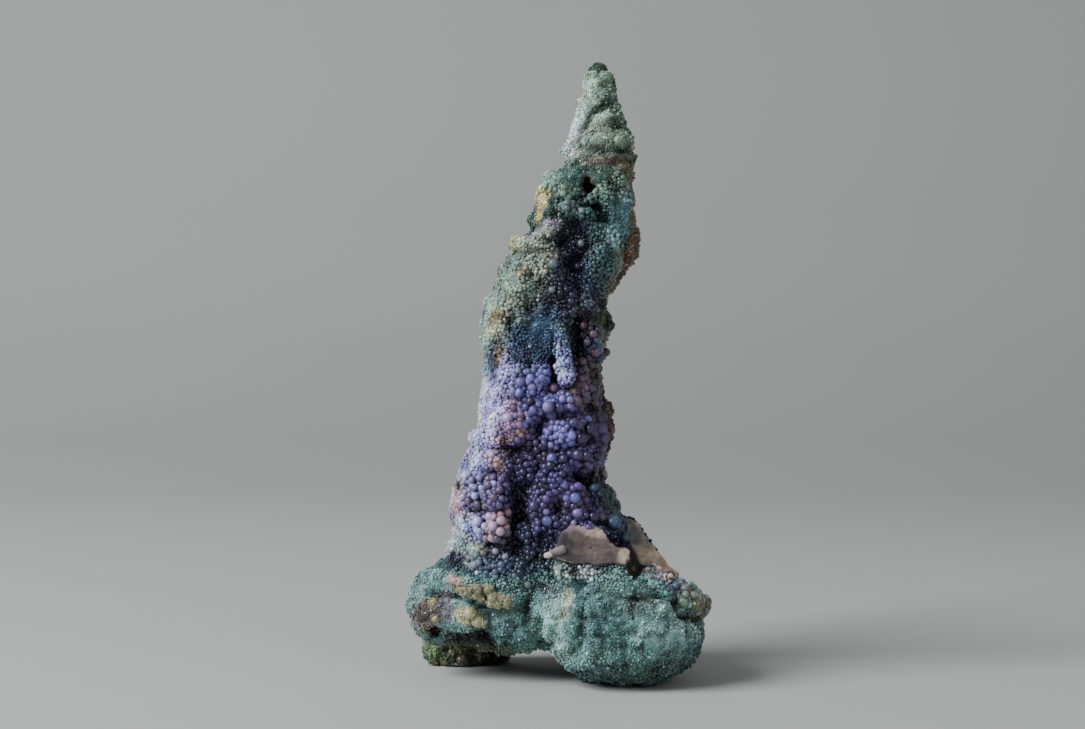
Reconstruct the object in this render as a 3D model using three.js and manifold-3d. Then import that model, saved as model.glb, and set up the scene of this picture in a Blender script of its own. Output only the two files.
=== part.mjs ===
// Grape agate: one grown stone, a bent finger of grape-like chalcedony rising from a spreading base.
// Millimetres, +Z up. The front elevation looks along +Y, with +X to the right.
// The origin is at floor level, under the middle of the stone's outer box.
import * as THREE from 'three';
import { mergeVertices } from 'three/addons/utils/BufferGeometryUtils.js';
import { SimplexNoise } from 'three/addons/math/SimplexNoise.js';
import Module from 'manifold-3d';

const wasm = await Module();
wasm.setup();

// ---------------------------------------------------------------- driving dimensions

const SEED = 7;
const STONE_COLOUR = 0x6a7f8c;
const STONE_ROUGHNESS = 0.5;

const FINGER_SIDES = 42; // facets round the finger
const FINGER_ROWS = 60;
const FRONT_BIAS = 0.35; // share by which facets are narrower at the front than at the sides
const ROCK_SIDES = 14; // facets round the bare rock behind the finger
const ROCK_ROWS = 26;
const GRAPE_SIDES = 7;
const GRAPE_RINGS = 4;
const EYE = [-3.9, -480, 80.4]; // the front elevation is drawn from here, across a plane at Y = 0
const GROOVE_LIP = 2.5; // how far a groove's cutter stands out of the surface
const FLOOR_CUT = 30; // depth of the slab that trims the feet flat

// Roughness of each kind of surface.
const CRUST_LUMPS = [{ reach: 0.5, width: 4 }, { reach: 0.5, width: 11 }];
const ROCK_LUMPS = [{ reach: 0.9, width: 5 }, { reach: 1.3, width: 14 }];
const BASE_LUMPS = [{ reach: 0.8, width: 5 }, { reach: 1.6, width: 13 }];

// Grape-covered finger, from the tip down: height, left and right edge, front and back.
const FINGER = [
  { z: 158.6, left: 10.2, right: 11.8, front: 4.4, back: 7.4 },
  { z: 157.0, left: 8.9, right: 12.4, front: 3.3, back: 8.5 },
  { z: 153.0, left: 7.2, right: 14.9, front: 1.8, back: 10.6 },
  { z: 149.0, left: 6.2, right: 15.9, front: 0.7, back: 12.1 },
  { z: 145.0, left: 4.8, right: 17.0, front: -0.3, back: 13.5 },
  { z: 141.5, left: 3.4, right: 17.7, front: -1.1, back: 14.6 },
  { z: 139.0, left: 2.3, right: 19.4, front: -1.7, back: 15.4 },
  { z: 135.5, left: 0.9, right: 19.6, front: -2.4, back: 16.2 },
  { z: 132.6, left: 0.6, right: 19.2, front: -2.9, back: 16.8 },
  { z: 129.8, left: -3.7, right: 19.4, front: -4.0, back: 17.4 },
  { z: 124.5, left: -4.3, right: 19.8, front: -5.0, back: 18.2 },
  { z: 120.5, left: -5.7, right: 19.6, front: -5.6, back: 18.6 },
  { z: 117.0, left: -6.9, right: 18.8, front: -6.0, back: 19.0 },
  { z: 113.2, left: -11.3, right: 17.8, front: -6.6, back: 19.6 },
  { z: 108.5, left: -12.3, right: 16.2, front: -7.0, back: 20.0 },
  { z: 103.5, left: -14.9, right: 14.0, front: -7.4, back: 20.2 },
  { z: 98.5, left: -17.5, right: 12.6, front: -7.8, back: 20.0 },
  { z: 92.5, left: -19.5, right: 11.7, front: -8.2, back: 19.6 },
  { z: 86.0, left: -19.4, right: 11.0, front: -8.7, back: 19.4 },
  { z: 79.0, left: -18.9, right: 10.1, front: -9.1, back: 19.8 },
  { z: 72.0, left: -19.3, right: 10.3, front: -9.4, back: 20.4 },
  { z: 66.5, left: -19.6, right: 11.3, front: -9.7, back: 21.2 },
  { z: 62.0, left: -21.3, right: 11.9, front: -10.0, back: 22.0 },
  { z: 57.5, left: -23.3, right: 12.0, front: -10.3, back: 22.8 },
  { z: 53.3, left: -24.8, right: 11.2, front: -10.6, back: 23.6 },
  { z: 48.5, left: -26.8, right: 13.0, front: -11.2, back: 24.4 },
  { z: 43.0, left: -27.0, right: 15.4, front: -12.0, back: 25.2 },
  { z: 37.0, left: -27.1, right: 17.4, front: -13.0, back: 26.0 },
  { z: 30.0, left: -29.5, right: 21.0, front: -14.4, back: 26.8 },
  { z: 24.0, left: -33.0, right: 24.0, front: -15.0, back: 27.2 },
  { z: 17.0, left: -31.0, right: 24.0, front: -14.0, back: 26.8 },
];

// Bare brown rock that backs the finger and shows past its right edge.
const ROCK = [
  { z: 138.0, left: 9.0, right: 18.4, front: 7.0, back: 17.0 },
  { z: 131.0, left: 7.0, right: 19.8, front: 6.0, back: 19.8 },
  { z: 124.0, left: 4.0, right: 20.7, front: 5.4, back: 21.4 },
  { z: 118.0, left: 0.0, right: 21.4, front: 5.0, back: 22.8 },
  { z: 111.0, left: -5.0, right: 20.6, front: 4.6, back: 24.0 },
  { z: 104.5, left: -8.5, right: 18.6, front: 4.4, back: 24.2 },
  { z: 99.0, left: -11.0, right: 13.8, front: 4.2, back: 23.8 },
  { z: 96.0, left: -12.5, right: 12.5, front: 4.0, back: 23.4 },
  { z: 89.5, left: -14.5, right: 15.0, front: 3.6, back: 22.8 },
  { z: 84.0, left: -14.5, right: 11.6, front: 3.4, back: 23.0 },
  { z: 74.0, left: -14.0, right: 12.0, front: 3.2, back: 24.0 },
  { z: 64.5, left: -15.5, right: 15.1, front: 3.0, back: 25.4 },
  { z: 57.0, left: -18.0, right: 14.4, front: 3.0, back: 26.4 },
  { z: 53.2, left: -19.0, right: 11.7, front: 3.0, back: 27.0 },
  { z: 48.0, left: -20.5, right: 14.4, front: 3.0, back: 27.8 },
  { z: 38.0, left: -22.0, right: 17.8, front: 3.0, back: 29.0 },
  { z: 25.0, left: -25.0, right: 22.0, front: 3.0, back: 30.0 },
];

// Rough rounded masses of the base. Box power: 2 is an egg, higher is squarer.
const BASE_MASSES = [
  { name: 'front lobe', at: [17.2, -6.0, 14.9], size: [38, 39, 30.4], box: 2.4, detail: 5 },
  { name: 'lobe cheek', at: [4.0, -8, 17.0], size: [16, 22, 20], box: 2.3, detail: 2 },
  { name: 'lobe shoulder', at: [27, 0, 19], size: [17, 24, 16], box: 2.3, detail: 2 },
  { name: 'middle', at: [-9, 2, 19.0], size: [46, 31, 24], box: 2.5, detail: 3 },
  { name: 'left lobe', at: [-28.7, 3, 18.2], size: [19.5, 25, 19], box: 2.4, detail: 3 },
  { name: 'left lobe crown', at: [-25.5, 5, 24], size: [16, 20, 13], box: 2.2, detail: 2 },
  { name: 'left bridge', at: [-20.5, 0.6, 19.5], size: [18, 28, 19], box: 2.3, detail: 2 },
  { name: 'left foot', at: [-24.4, 23.8, 4.4], size: [23, 16, 12], box: 2.5, detail: 2 },
  { name: 'foot wing', at: [-15, 22, 8.4], size: [18, 18, 9], box: 2.2, detail: 2 },
  { name: 'back mass', at: [2, 17, 18], size: [58, 28, 22], box: 2.5, detail: 3 },
  { name: 'back foot', at: [19, 21, 5], size: [25, 17, 15], box: 2.6, detail: 2 },
  { name: 'edge knob', at: [35.4, -1, 18.4], size: [6.6, 7, 6.2], box: 2.1, detail: 1 },
  { name: 'lower edge knob', at: [34.4, -5, 13.6], size: [5.4, 6, 5.6], box: 2.1, detail: 1 },
  { name: 'upper edge knob', at: [31.2, -2, 23.0], size: [6.4, 7, 5.4], box: 2.1, detail: 1 },
];

// Swellings, and hollows with a rise below zero, by where they show in the front elevation:
// across, up, width, height, rise.
const SWELLS = [
  // finger top: bulb, ledges under the spire, step ledges on the left, bead banks on the right
  [16.1, 137.6, 5.0, 4.8, 1.3], [12.4, 143.2, 6.4, 2.8, 0.9], [13.8, 147.2, 4.4, 2.4, 0.7],
  [9.6, 132.6, 8.4, 3.6, 1.0], [15.4, 131.0, 5.6, 4.0, 0.9], [-1.9, 128.8, 5.2, 5.0, 1.3],
  [1.6, 125.4, 5.0, 4.2, 0.9], [5.3, 121.6, 5.8, 4.6, 1.5], [-3.2, 122.0, 3.8, 5.0, 0.8],
  [-7.0, 115.4, 5.4, 4.4, 1.1], [14.6, 122.8, 7.6, 8.0, 1.3], [15.0, 114.8, 6.6, 7.6, 1.5],
  [13.0, 106.4, 5.6, 7.4, 1.2], [-12.6, 108.6, 5.0, 5.0, 0.9],
  // the finger's middle: sunken dark core between the swollen left flank and the right bank
  [3.5, 112.0, 11.0, 17.0, -1.5], [4.5, 99.0, 8.0, 15.0, -1.2], [-12.0, 98.0, 12.0, 18.0, 1.2],
  [-13.0, 83.0, 12.0, 18.0, 0.9],
  // purple clusters and hollows
  [-15.3, 73.0, 7.0, 6.2, 1.1], [-7.6, 70.6, 7.8, 9.6, 1.5], [-2.2, 70.8, 6.4, 5.8, 1.4],
  [-0.6, 61.6, 7.6, 8.4, 1.7], [7.8, 63.0, 8.6, 8.8, 1.8], [6.6, 71.0, 5.4, 5.0, 1.1],
  [-12.4, 63.6, 8.8, 4.4, 1.7], [-6.6, 52.0, 7.4, 10.0, -2.0], [6.2, 48.8, 4.6, 4.8, -3.0],
  [-4.0, 45.6, 8.2, 6.8, 1.6], [0.6, 41.0, 7.6, 6.2, 1.5], [-7.1, 37.6, 7.6, 6.4, 1.3],
  [4.4, 54.2, 8.0, 5.4, 0.9], [-2.4, 80.0, 4.6, 6.0, -1.0],
  // pale mounds of the left flank
  [-18.4, 61.4, 6.8, 6.2, 1.2], [-17.0, 53.6, 6.6, 6.0, 1.4], [-22.8, 48.8, 6.4, 6.2, 1.1],
  [-14.8, 47.2, 5.8, 6.2, 2.0], [-20.4, 44.8, 6.8, 5.8, 1.8], [-15.4, 39.2, 5.6, 9.4, 2.1],
  [-24.2, 38.8, 6.6, 6.4, 1.1], [-19.4, 31.8, 6.0, 5.0, 1.4],
  // base: cream lumps, rim and dimples of the front lobe
  [-23.8, 23.4, 5.6, 4.8, 1.7], [-16.2, 21.2, 8.6, 4.2, 1.9], [1.0, 20.0, 6.2, 8.8, 1.6],
  [2.6, 10.4, 6.0, 7.2, 1.4], [7.6, 25.6, 5.2, 4.2, 1.0], [25.0, 24.0, 7.0, 5.0, 1.0],
  [14.0, 15.0, 8.0, 7.0, -0.8], [24.0, 11.0, 8.0, 8.0, 0.9], [-31.4, 12.0, 4.4, 4.4, -1.8],
];

// The thin upright rib, and the grooves and clefts: the way each runs, its width and its rise.
const RUNS = [
  { name: 'rib', path: [[0.6, 90.6], [1.6, 85.0], [3.0, 79.0], [4.4, 72.6]], width: 3.6, rise: 1.6 },
  { name: 'right of the rib', path: [[4.8, 91.2], [6.0, 82.0], [7.0, 76.6]], width: 3.2, rise: -2.2 },
  { name: 'left of the rib', path: [[-0.8, 81.0], [0.2, 76.4], [0.8, 72.8]], width: 2.6, rise: -1.6 },
  { name: 'diagonal groove', path: [[13.4, 147.0], [8.0, 142.4], [6.2, 138.6]], width: 2.4, rise: -1.4 },
  { name: 'spire foot', path: [[4.6, 131.4], [9.4, 129.8], [14.4, 129.4]], width: 2.4, rise: -1.2 },
  { name: 'crevice', path: [[1.8, 123.2], [4.6, 124.8], [8.6, 121.2], [10.6, 118.8]], width: 2.4, rise: -2.4 },
  { name: 'core slit', path: [[5.6, 106.0], [6.0, 102.6], [5.6, 99.0]], width: 2.4, rise: -1.8 },
  { name: 'flank cleft', path: [[-16.2, 58.6], [-11.0, 60.4], [-6.4, 58.0]], width: 3.0, rise: -2.6 },
  { name: 'purple trough', path: [[-11.2, 57.0], [-11.2, 48.0], [-11.6, 40.0], [-10.4, 32.0]], width: 5.4, rise: -2.6 },
  { name: 'mound cleft', path: [[-20.6, 41.0], [-17.6, 42.2]], width: 2.2, rise: -1.8 },
  { name: 'mound foot', path: [[-21.4, 35.0], [-17.4, 34.4], [-13.6, 34.8]], width: 2.2, rise: -1.6 },
];

// Holes with steep sides: the way each runs, its width and its depth.
const HOLES = [
  { name: 'deep hole', path: [[7.2, 128.4], [8.0, 126.2], [9.4, 124.2]], width: 4.6, depth: 5.0 },
  { name: 'right hollow', path: [[5.0, 50.4], [6.8, 48.6], [7.0, 46.2]], width: 3.4, depth: 2.4 },
  { name: 'cream hole', path: [[-18.6, 22.2], [-18.2, 20.4]], width: 1.8, depth: 2.4 },
  { name: 'lobe pit', path: [[-32.8, 13.6], [-30.2, 10.6]], width: 3.4, depth: 3.0 },
  { name: 'edge crevice', path: [[32.6, 21.4], [33.2, 18.4], [32.6, 15.6]], width: 1.8, depth: 2.4 },
];

// The largest single grapes: across, up, diameter.
const GRAPES = [
  [-12.7, 66.2, 3.2], [-1.4, 70.0, 3.4], [-0.9, 73.9, 2.9], [-7.1, 74.1, 2.6], [-8.6, 66.4, 2.6],
  [-0.4, 59.5, 2.8], [7.3, 56.6, 3.8], [-0.6, 56.2, 2.9], [5.4, 70.8, 3.6], [9.9, 47.7, 3.8],
  [3.7, 46.9, 2.8], [5.0, 42.4, 3.4], [0.9, 50.2, 2.8], [-4.0, 49.4, 3.6], [-3.5, 39.9, 3.2],
  [-1.4, 106.5, 2.9], [14.2, 39.0, 3.4],
];

// Flat broken plates low on the front: outline of (across, up the slope), foot of the slope, turns.
const PLATES = [
  {
    name: 'front plate',
    outline: [[-8.6, -1.2], [8.4, -0.6], [8.8, 4.2], [5.4, 5.6], [1.4, 11.4], [-3.2, 12.6], [-8.0, 10.6]],
    at: [9.4, -17.6, 29.0],
    thickness: 6,
    lean: 26,
    turn: 4,
  },
  {
    name: 'back plate',
    outline: [[-7.0, -4.0], [11.4, -3.6], [8.6, 2.4], [3.4, 8.4], [-1.2, 15.0], [-5.6, 17.2]],
    at: [22.4, 3.6, 25.4],
    thickness: 9,
    lean: 16,
    turn: 24,
  },
];

// Hollows below, where the stone arches between its feet: middle, size.
const UNDERCUTS = [
  { name: 'arch', at: [-5.5, 6, -1.0], size: [17, 90, 14], box: 2.2, detail: 2 },
  { name: 'left lobe undercut', at: [-24, -6, 3.0], size: [34, 40, 11], box: 2.2, detail: 2 },
];

// ---------------------------------------------------------------- helpers

THREE.MathUtils.seededRandom(SEED);
const noise = new SimplexNoise({ random: () => THREE.MathUtils.seededRandom() });
const eye = new THREE.Vector3(...EYE);

// Moves every vertex by a rule that is given a point to change.
function reshape(geometry, rule) {
  const place = geometry.getAttribute('position');
  const point = new THREE.Vector3();
  for (let i = 0; i < place.count; i += 1) {
    point.fromBufferAttribute(place, i);
    rule(point);
    place.setXYZ(i, point.x, point.y, point.z);
  }
  return geometry;
}

// Shakes a surface into lumps of one width or more: how far a point may move, and a lump's width.
function roughen(geometry, ...lumps) {
  return reshape(geometry, (p) => {
    const shake = new THREE.Vector3();
    for (const { reach, width } of lumps) {
      const [x, y, z] = [p.x / width, p.y / width, p.z / width];
      shake.x += reach * noise.noise3d(x, y, z);
      shake.y += reach * noise.noise3d(x + 31, y, z);
      shake.z += reach * noise.noise3d(x, y + 57, z);
    }
    p.add(shake);
  });
}

// Where a point shows in the front elevation.
function shown(p) {
  const spread = -eye.y / (p.y - eye.y);
  return [eye.x + (p.x - eye.x) * spread, eye.z + (p.z - eye.z) * spread];
}

// Distance from a place to a run of straight stretches.
function distanceTo(path, across, up) {
  const place = new THREE.Vector3(across, up, 0);
  const nearest = new THREE.Vector3();
  const stretches = path.slice(1).map((end, i) => {
    const line = new THREE.Line3(new THREE.Vector3(...path[i], 0), new THREE.Vector3(...end, 0));
    return line.closestPointToPoint(place, true, nearest).distanceTo(place);
  });
  return Math.min(...stretches);
}

// How far the front stands out at a place in the front elevation.
function relief(across, up) {
  const dome = (offset) => Math.max(0, 1 - offset * offset);
  const swells = SWELLS.map(([x, z, width, height, rise]) => (
    rise * dome(Math.hypot((across - x) / (width / 2), (up - z) / (height / 2)))
  ));
  const runs = RUNS.map(({ path, width, rise }) => (
    rise * dome(distanceTo(path, across, up) / (width / 2))
  ));
  return [...swells, ...runs].reduce((sum, value) => sum + value, 0);
}

// Presses the swellings and hollows into the side of a geometry that faces the front.
function press(geometry, middleY) {
  return reshape(geometry, (p) => {
    const facing = THREE.MathUtils.smoothstep(middleY(p) - p.y, 0, 4);
    p.y -= facing * relief(...shown(p));
  });
}

// Turns a closed geometry into a solid that can be joined and cut.
function solid(geometry) {
  const bare = geometry.clone();
  bare.deleteAttribute('normal');
  bare.deleteAttribute('uv');
  const merged = mergeVertices(bare);
  const mesh = new wasm.Mesh({
    numProp: 3,
    vertProperties: new Float32Array(merged.getAttribute('position').array),
    triVerts: new Uint32Array(merged.index.array),
  });
  return new wasm.Manifold(mesh);
}

// Turns a solid back into a geometry.
function geometryOf(body) {
  const { vertProperties, triVerts } = body.getMesh();
  const geometry = new THREE.BufferGeometry();
  geometry.setAttribute('position', new THREE.BufferAttribute(vertProperties, 3));
  geometry.setIndex(new THREE.BufferAttribute(triVerts, 1));
  geometry.computeVertexNormals();
  return geometry;
}

// The level section at a height, between the two listed sections that it lies between.
function sectionAt(sections, z) {
  const below = Math.max(1, sections.findIndex((section) => section.z <= z));
  const [upper, lower] = [sections[below - 1], sections[below]];
  const share = (upper.z - z) / (upper.z - lower.z);
  const between = (key) => THREE.MathUtils.lerp(upper[key], lower[key], share);
  return { left: between('left'), right: between('right'), front: between('front'), back: between('back') };
}

// Round on one half of a section, squarer on the other: a power of 2 is an ellipse.
function bulge(value, power) {
  return Math.sign(value) * Math.abs(value) ** (2 / power);
}

// A closed column through level sections, listed from the top down.
function column(sections, sides, rows, leftPower, rightPower) {
  const top = sections[0].z;
  const foot = sections[sections.length - 1].z;
  const geometry = new THREE.CylinderGeometry(1, 1, 1, sides, rows);
  geometry.rotateX(Math.PI / 2);
  return reshape(geometry, (p) => {
    const z = THREE.MathUtils.clamp(THREE.MathUtils.lerp(foot, top, p.z + 0.5), foot, top);
    const section = sectionAt(sections, z);
    const even = Math.atan2(p.x, -p.y);
    const turn = even - FRONT_BIAS * Math.sin(even);
    const reach = Math.hypot(p.x, p.y);
    const power = p.x > 0 ? rightPower : leftPower;
    const halfWidth = (section.right - section.left) / 2;
    const halfDepth = (section.back - section.front) / 2;
    p.x = (section.left + section.right) / 2 + halfWidth * bulge(reach * Math.sin(turn), power);
    p.y = (section.front + section.back) / 2 - halfDepth * bulge(reach * Math.cos(turn), power);
    p.z = z;
  });
}

// A rounded mass: a ball swollen towards a box, scaled and set in place.
function mass({ at, size, box, detail }) {
  const geometry = new THREE.IcosahedronGeometry(1, detail);
  return reshape(geometry, (p) => {
    const span = (Math.abs(p.x) ** box + Math.abs(p.y) ** box + Math.abs(p.z) ** box) ** (1 / box);
    p.divideScalar(span);
    p.set(at[0] + (p.x * size[0]) / 2, at[1] + (p.y * size[1]) / 2, at[2] + (p.z * size[2]) / 2);
  });
}

// The point of a surface that shows at a place in the front elevation, and the line of sight there.
function find(target, [across, up]) {
  const sight = new THREE.Vector3(across, 0, up).sub(eye).normalize();
  const [hit] = new THREE.Raycaster(eye, sight).intersectObject(target);
  return { point: hit.point, sight };
}

// ---------------------------------------------------------------- the stone

function finger() {
  const crust = press(column(FINGER, FINGER_SIDES, FINGER_ROWS, 2.1, 2.6), (p) => {
    const section = sectionAt(FINGER, p.z);
    return (section.front + section.back) / 2;
  });
  const rock = column(ROCK, ROCK_SIDES, ROCK_ROWS, 2.4, 3.2);
  return solid(roughen(crust, ...CRUST_LUMPS)).add(solid(roughen(rock, ...ROCK_LUMPS)));
}

function roughMass(entry) {
  return solid(roughen(press(mass(entry), () => entry.at[1]), ...BASE_LUMPS));
}

function plate({ outline, at, thickness, lean, turn }) {
  const shape = new THREE.Shape(outline.map(([x, y]) => new THREE.Vector2(x, y)));
  const edge = { bevelEnabled: true, bevelThickness: 0.7, bevelSize: 0.7, bevelSegments: 1 };
  const geometry = new THREE.ExtrudeGeometry(shape, { depth: thickness, steps: 1, ...edge });
  geometry.translate(0, 0, -thickness);
  geometry.rotateX(THREE.MathUtils.degToRad(90 - lean));
  geometry.rotateZ(THREE.MathUtils.degToRad(turn));
  geometry.translate(...at);
  return solid(geometry);
}

// A steep-sided hole along the surface: open above it, and half as wide at its floor as at its lip.
function hole(target, { path, width, depth }) {
  const run = new THREE.CatmullRomCurve3(path.map((place) => find(target, place).point));
  const inward = new THREE.Vector3(0, 1, 0);
  const steps = 2 * (path.length - 1);
  const square = new THREE.CylinderGeometry(Math.SQRT2, Math.SQRT2, 1, 4, steps, false, Math.PI / 4);
  square.rotateX(Math.PI / 2);
  return solid(reshape(square, (p) => {
    const along = p.z + 0.5;
    const toFloor = (p.y + 1) / 2;
    const halfWidth = width * (0.5 - 0.25 * toFloor);
    const fullDepth = GROOVE_LIP + depth * (1 - (2 * along - 1) ** 4 / 2);
    const sideways = inward.clone().cross(run.getTangent(along)).normalize();
    const side = p.x;
    p.copy(run.getPoint(along)).addScaledVector(sideways, side * halfWidth);
    p.y += toFloor * fullDepth - GROOVE_LIP;
  }));
}

function grape(target, [across, up, diameter]) {
  const { point, sight } = find(target, [across, up]);
  const ball = new THREE.SphereGeometry(diameter / 2, GRAPE_SIDES, GRAPE_RINGS);
  return solid(ball.translate(...point.addScaledVector(sight, diameter * 0.1).toArray()));
}

function stone() {
  const pieces = [finger(), ...BASE_MASSES.map(roughMass), ...PLATES.map(plate)];
  const joined = pieces.reduce((whole, next) => whole.add(next));
  const surface = new THREE.Mesh(geometryOf(joined));
  const pitted = HOLES.reduce((rest, entry) => rest.subtract(hole(surface, entry)), joined);
  const arched = UNDERCUTS.reduce((rest, entry) => rest.subtract(roughMass(entry)), pitted);
  const grown = GRAPES.reduce((whole, entry) => whole.add(grape(surface, entry)), arched);
  const floor = new THREE.BoxGeometry(200, 200, FLOOR_CUT).translate(0, 0, -FLOOR_CUT / 2);
  return grown.subtract(solid(floor));
}

const geometry = geometryOf(stone());
geometry.computeBoundingBox();
const middle = geometry.boundingBox.getCenter(new THREE.Vector3());
geometry.translate(-middle.x, -middle.y, 0);

const agate = new THREE.Mesh(
  geometry,
  new THREE.MeshStandardMaterial({ color: STONE_COLOUR, roughness: STONE_ROUGHNESS, metalness: 0 }),
);
agate.name = 'grape_agate';

const group = new THREE.Group();
group.add(agate);

export default group;
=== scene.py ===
"""Grape agate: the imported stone, dressed with its grapes, its crystal crust and its colours.

Lengths in the tables are millimetres in the frame of the part; Blender gets metres.
"Across" and "up" are places in the front elevation, drawn from the eye on an upright plane.
"""

import math
from collections import defaultdict
from itertools import product

import bpy
import numpy as np
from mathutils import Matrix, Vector
from mathutils.bvhtree import BVHTree

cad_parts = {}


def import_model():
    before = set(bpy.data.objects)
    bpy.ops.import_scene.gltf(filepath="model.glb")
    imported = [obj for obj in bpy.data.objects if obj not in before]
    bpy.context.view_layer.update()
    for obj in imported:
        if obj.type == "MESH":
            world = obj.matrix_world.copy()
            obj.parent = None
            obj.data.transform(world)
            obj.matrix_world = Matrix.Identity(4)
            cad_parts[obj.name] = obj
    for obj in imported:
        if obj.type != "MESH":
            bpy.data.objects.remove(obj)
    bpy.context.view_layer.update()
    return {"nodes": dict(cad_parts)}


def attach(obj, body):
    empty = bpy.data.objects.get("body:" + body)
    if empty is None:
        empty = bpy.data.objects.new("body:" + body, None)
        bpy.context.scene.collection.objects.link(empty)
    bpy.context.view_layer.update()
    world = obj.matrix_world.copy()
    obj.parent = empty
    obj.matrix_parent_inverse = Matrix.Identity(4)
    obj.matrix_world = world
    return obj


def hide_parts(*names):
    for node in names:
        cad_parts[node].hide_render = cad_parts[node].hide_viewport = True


MM = 0.001
NODE = "grape_agate"
BODY = "root"
SEED = 17

# ------------ camera, light and floor, in metres
LENS = 62.0  # in millimetres, as is the sensor
SENSOR = 36.0
LAMPS = [  # name, place, size, power, colour
    ("window", (-1.05, -0.6, 0.95), 0.9, 33.0, (0.97, 0.985, 1.0)),
    ("fill", (0.9, -0.9, 0.5), 0.8, 2.2, (1.0, 0.98, 0.95)),
]
LAMP_TARGET = (0, 0, 0.08)
SKY_COLOUR = (0.9, 0.94, 1.0, 1)
SKY_STRENGTH = 0.2
FLOOR_PROFILE = [  # depth, height
    (-1.2, 0.0), (0.7, 0.0), (0.95, 0.02), (1.15, 0.09), (1.28, 0.22), (1.32, 0.4), (1.32, 2.2),
]
FLOOR_HALF = 2.5
FLOOR_COLOUR = (0.52, 0.52, 0.51, 1)
FLOOR_ROUGHNESS = 0.8

# ------------ elevation
EYE = np.array([-3.721, -483.153, 80.4])
PLANE_Y = -3.153  # the front elevation's plane
SHIFT = 0.179  # from the tables' across to the elevation's

# ------------ surface
VOXEL = 0.68
SOFTENING = 0.5
SMOOTHING = 7
FRONT_FULL = 8.0  # the front's colours and beads are full up to this depth
FRONT_NONE = 14.0  # and end at this one
SINK_SHARE = 0.95  # how far the ground lies under the bead tips, as a share of the largest bead radius
CLUMP_LIFT = 0.15  # how far clumps stand out past the CAD surface, before the beads' own height
CLUMP_SINK = 0.7  # how far clumps sink, as a share of their rise
MOUND_SPREAD = 1.5  # a mound's oval, in its width and height
LUMPS = (0.25, 0.3, 0.15)  # height of the small lumps on the front, and what the back and the sugar add
TIP_GAIN = 0.4  # what the tip gets back after smoothing
TIP_SPAN = (150.0, 156.0)  # heights between which that gain sets in
TIP_BARE = 155.8  # no crystal grows above this height
TIP_CAP = ("cap", 2.5, 158.7)  # the dome on the tip: colour, radius, height of its top
GROUND_SHADE = (0.36, 0.85)  # painted shade: how dark the ground is under round beads, and under the sugary crust
CREASE_SHADE_SHARE = 0.4  # share of prune in the ground between round beads, as painted shade
CREASE_SHADE_TONE = 0.7  # tone of that prune
GROUND_CREASE_SHADE = (0.45, 0.65)  # painted shade: tone of the ground in creases, and what tops add
HIGH_GAIN = (0.16, 0.7)  # what mounds and sugary lumps add to a place's height in its clump
HIGH_LIFT = 0.1  # and what every place gets,
HIGH_MOST = 1.3  # up to this height
GREY_SPAN = (-0.3, 0.5)  # values of the grey noise between which the back turns from earth to rock
OVAL_EDGE = (0.6, 1.25)  # an oval patch fades between these shares of its half length
# How the noise's own lattice is turned, so that none of its rows lies along the stone's axes.
TURN = np.array([[0.48, 0.64, 0.60], [-0.80, 0.60, 0.00], [-0.36, -0.48, 0.80]])
CELL_REACH = 0.85  # radius of a dome, in cells
CELL_SPREAD = 0.42  # how far a dome's middle lies from its cell's, at most
TINY = 1e-12  # keeps level edges from dividing by 0
NOISE_GAIN = 1.4  # brings the noise up to its range
NOISES = {  # layers of share, width and seed
    "front edge": [(1.5, 6, 5)],
    "patch edges": [(0.3, 4, 21), (0.2, 1.7, 22)],
    "band edges": [(3, 9, 23)],
    "grey": [(1, 11, 24)],
    "size edges": [(0.25, 3, 31)],
    "sugar edges": [(0.25, 3, 33)],
    "lumps": [(1, 2.6, 41), (0.8, 1.4, 42)],
    "bead tone": [(0.25, 2, 61)],
    "bead warmth": [(0.12, 7, 62)],
    "plate rim": [(0.3, 1.8, 81), (0.2, 0.7, 82)],
    "plate grain": [(0.14, 2.6, 83), (0.07, 0.9, 84), (0.04, 0.45, 85)],
    "cloud edges": [(0.25, 3, 86)],
    "streaks": [(0.16, 1.1, 87)],
}

# ------------ beads
PLAIN_RADIUS = 0.46  # largest bead where nothing else is said
BACK_RADIUS = 0.5
SUGAR_EDGE = 0.5  # share of sugar from which crystals grow and not round beads
BERRY_ROOM = 0.9  # where larger grapes than this may grow,
BERRY_SHARE = 0.012  # only this share of the berries is tried
SIZE_BY_HEIGHT = (0.72, 0.36)  # share of the largest radius reached in creases, and what tops add
SIZE_SPREAD = 0.2
SIZE_POWER = 1.3  # over 1, small beads are more common than large ones
FLOOR_ROOM = 1.1  # how high a bead's place must be, in its radius
PLACED_LARGEST = 2.5  # for the single grapes: largest radius
PLACED_SPACING = 0.62  # and spacing
ROOT_SHADE = 0.36  # painted shade: how dark a bead is where it grows from
TIP_LIGHT = 1.2  # painted light: how light a bead is at its tip
TIP_LIGHT_FROM = -0.4  # height on a bead, from -1 to 1, where its painted light starts
TIP_HIGHLIGHT_FROM = 0.3  # and where its whitish painted highlight starts
# Painted shade, partly the stone's own darker colour: tone in creases, its gain on tops and its power,
# for round beads and for crystals.
CREASE_SHADES = {True: (0.18, 0.8, 1.4), False: (0.38, 0.76, 1.0)}
TONE_SPREAD = (0.2, 0.22)  # change of tone from bead to bead and from clump to clump
WARM_SPREAD = (0.07, 0.12)  # change of warmth, likewise
COOLING = 0.6  # how much of the warmth is taken from the blue
BRIGHTENING = 0.45  # share of frost-white in a bright bead, a painted glint
TIP_HIGHLIGHT = 0.09  # share of the whitish painted highlight at a tip
TIP_HIGHLIGHT_GAIN = 5.0  # dark beads, of a tone below one over this, get less of that painted highlight
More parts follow.
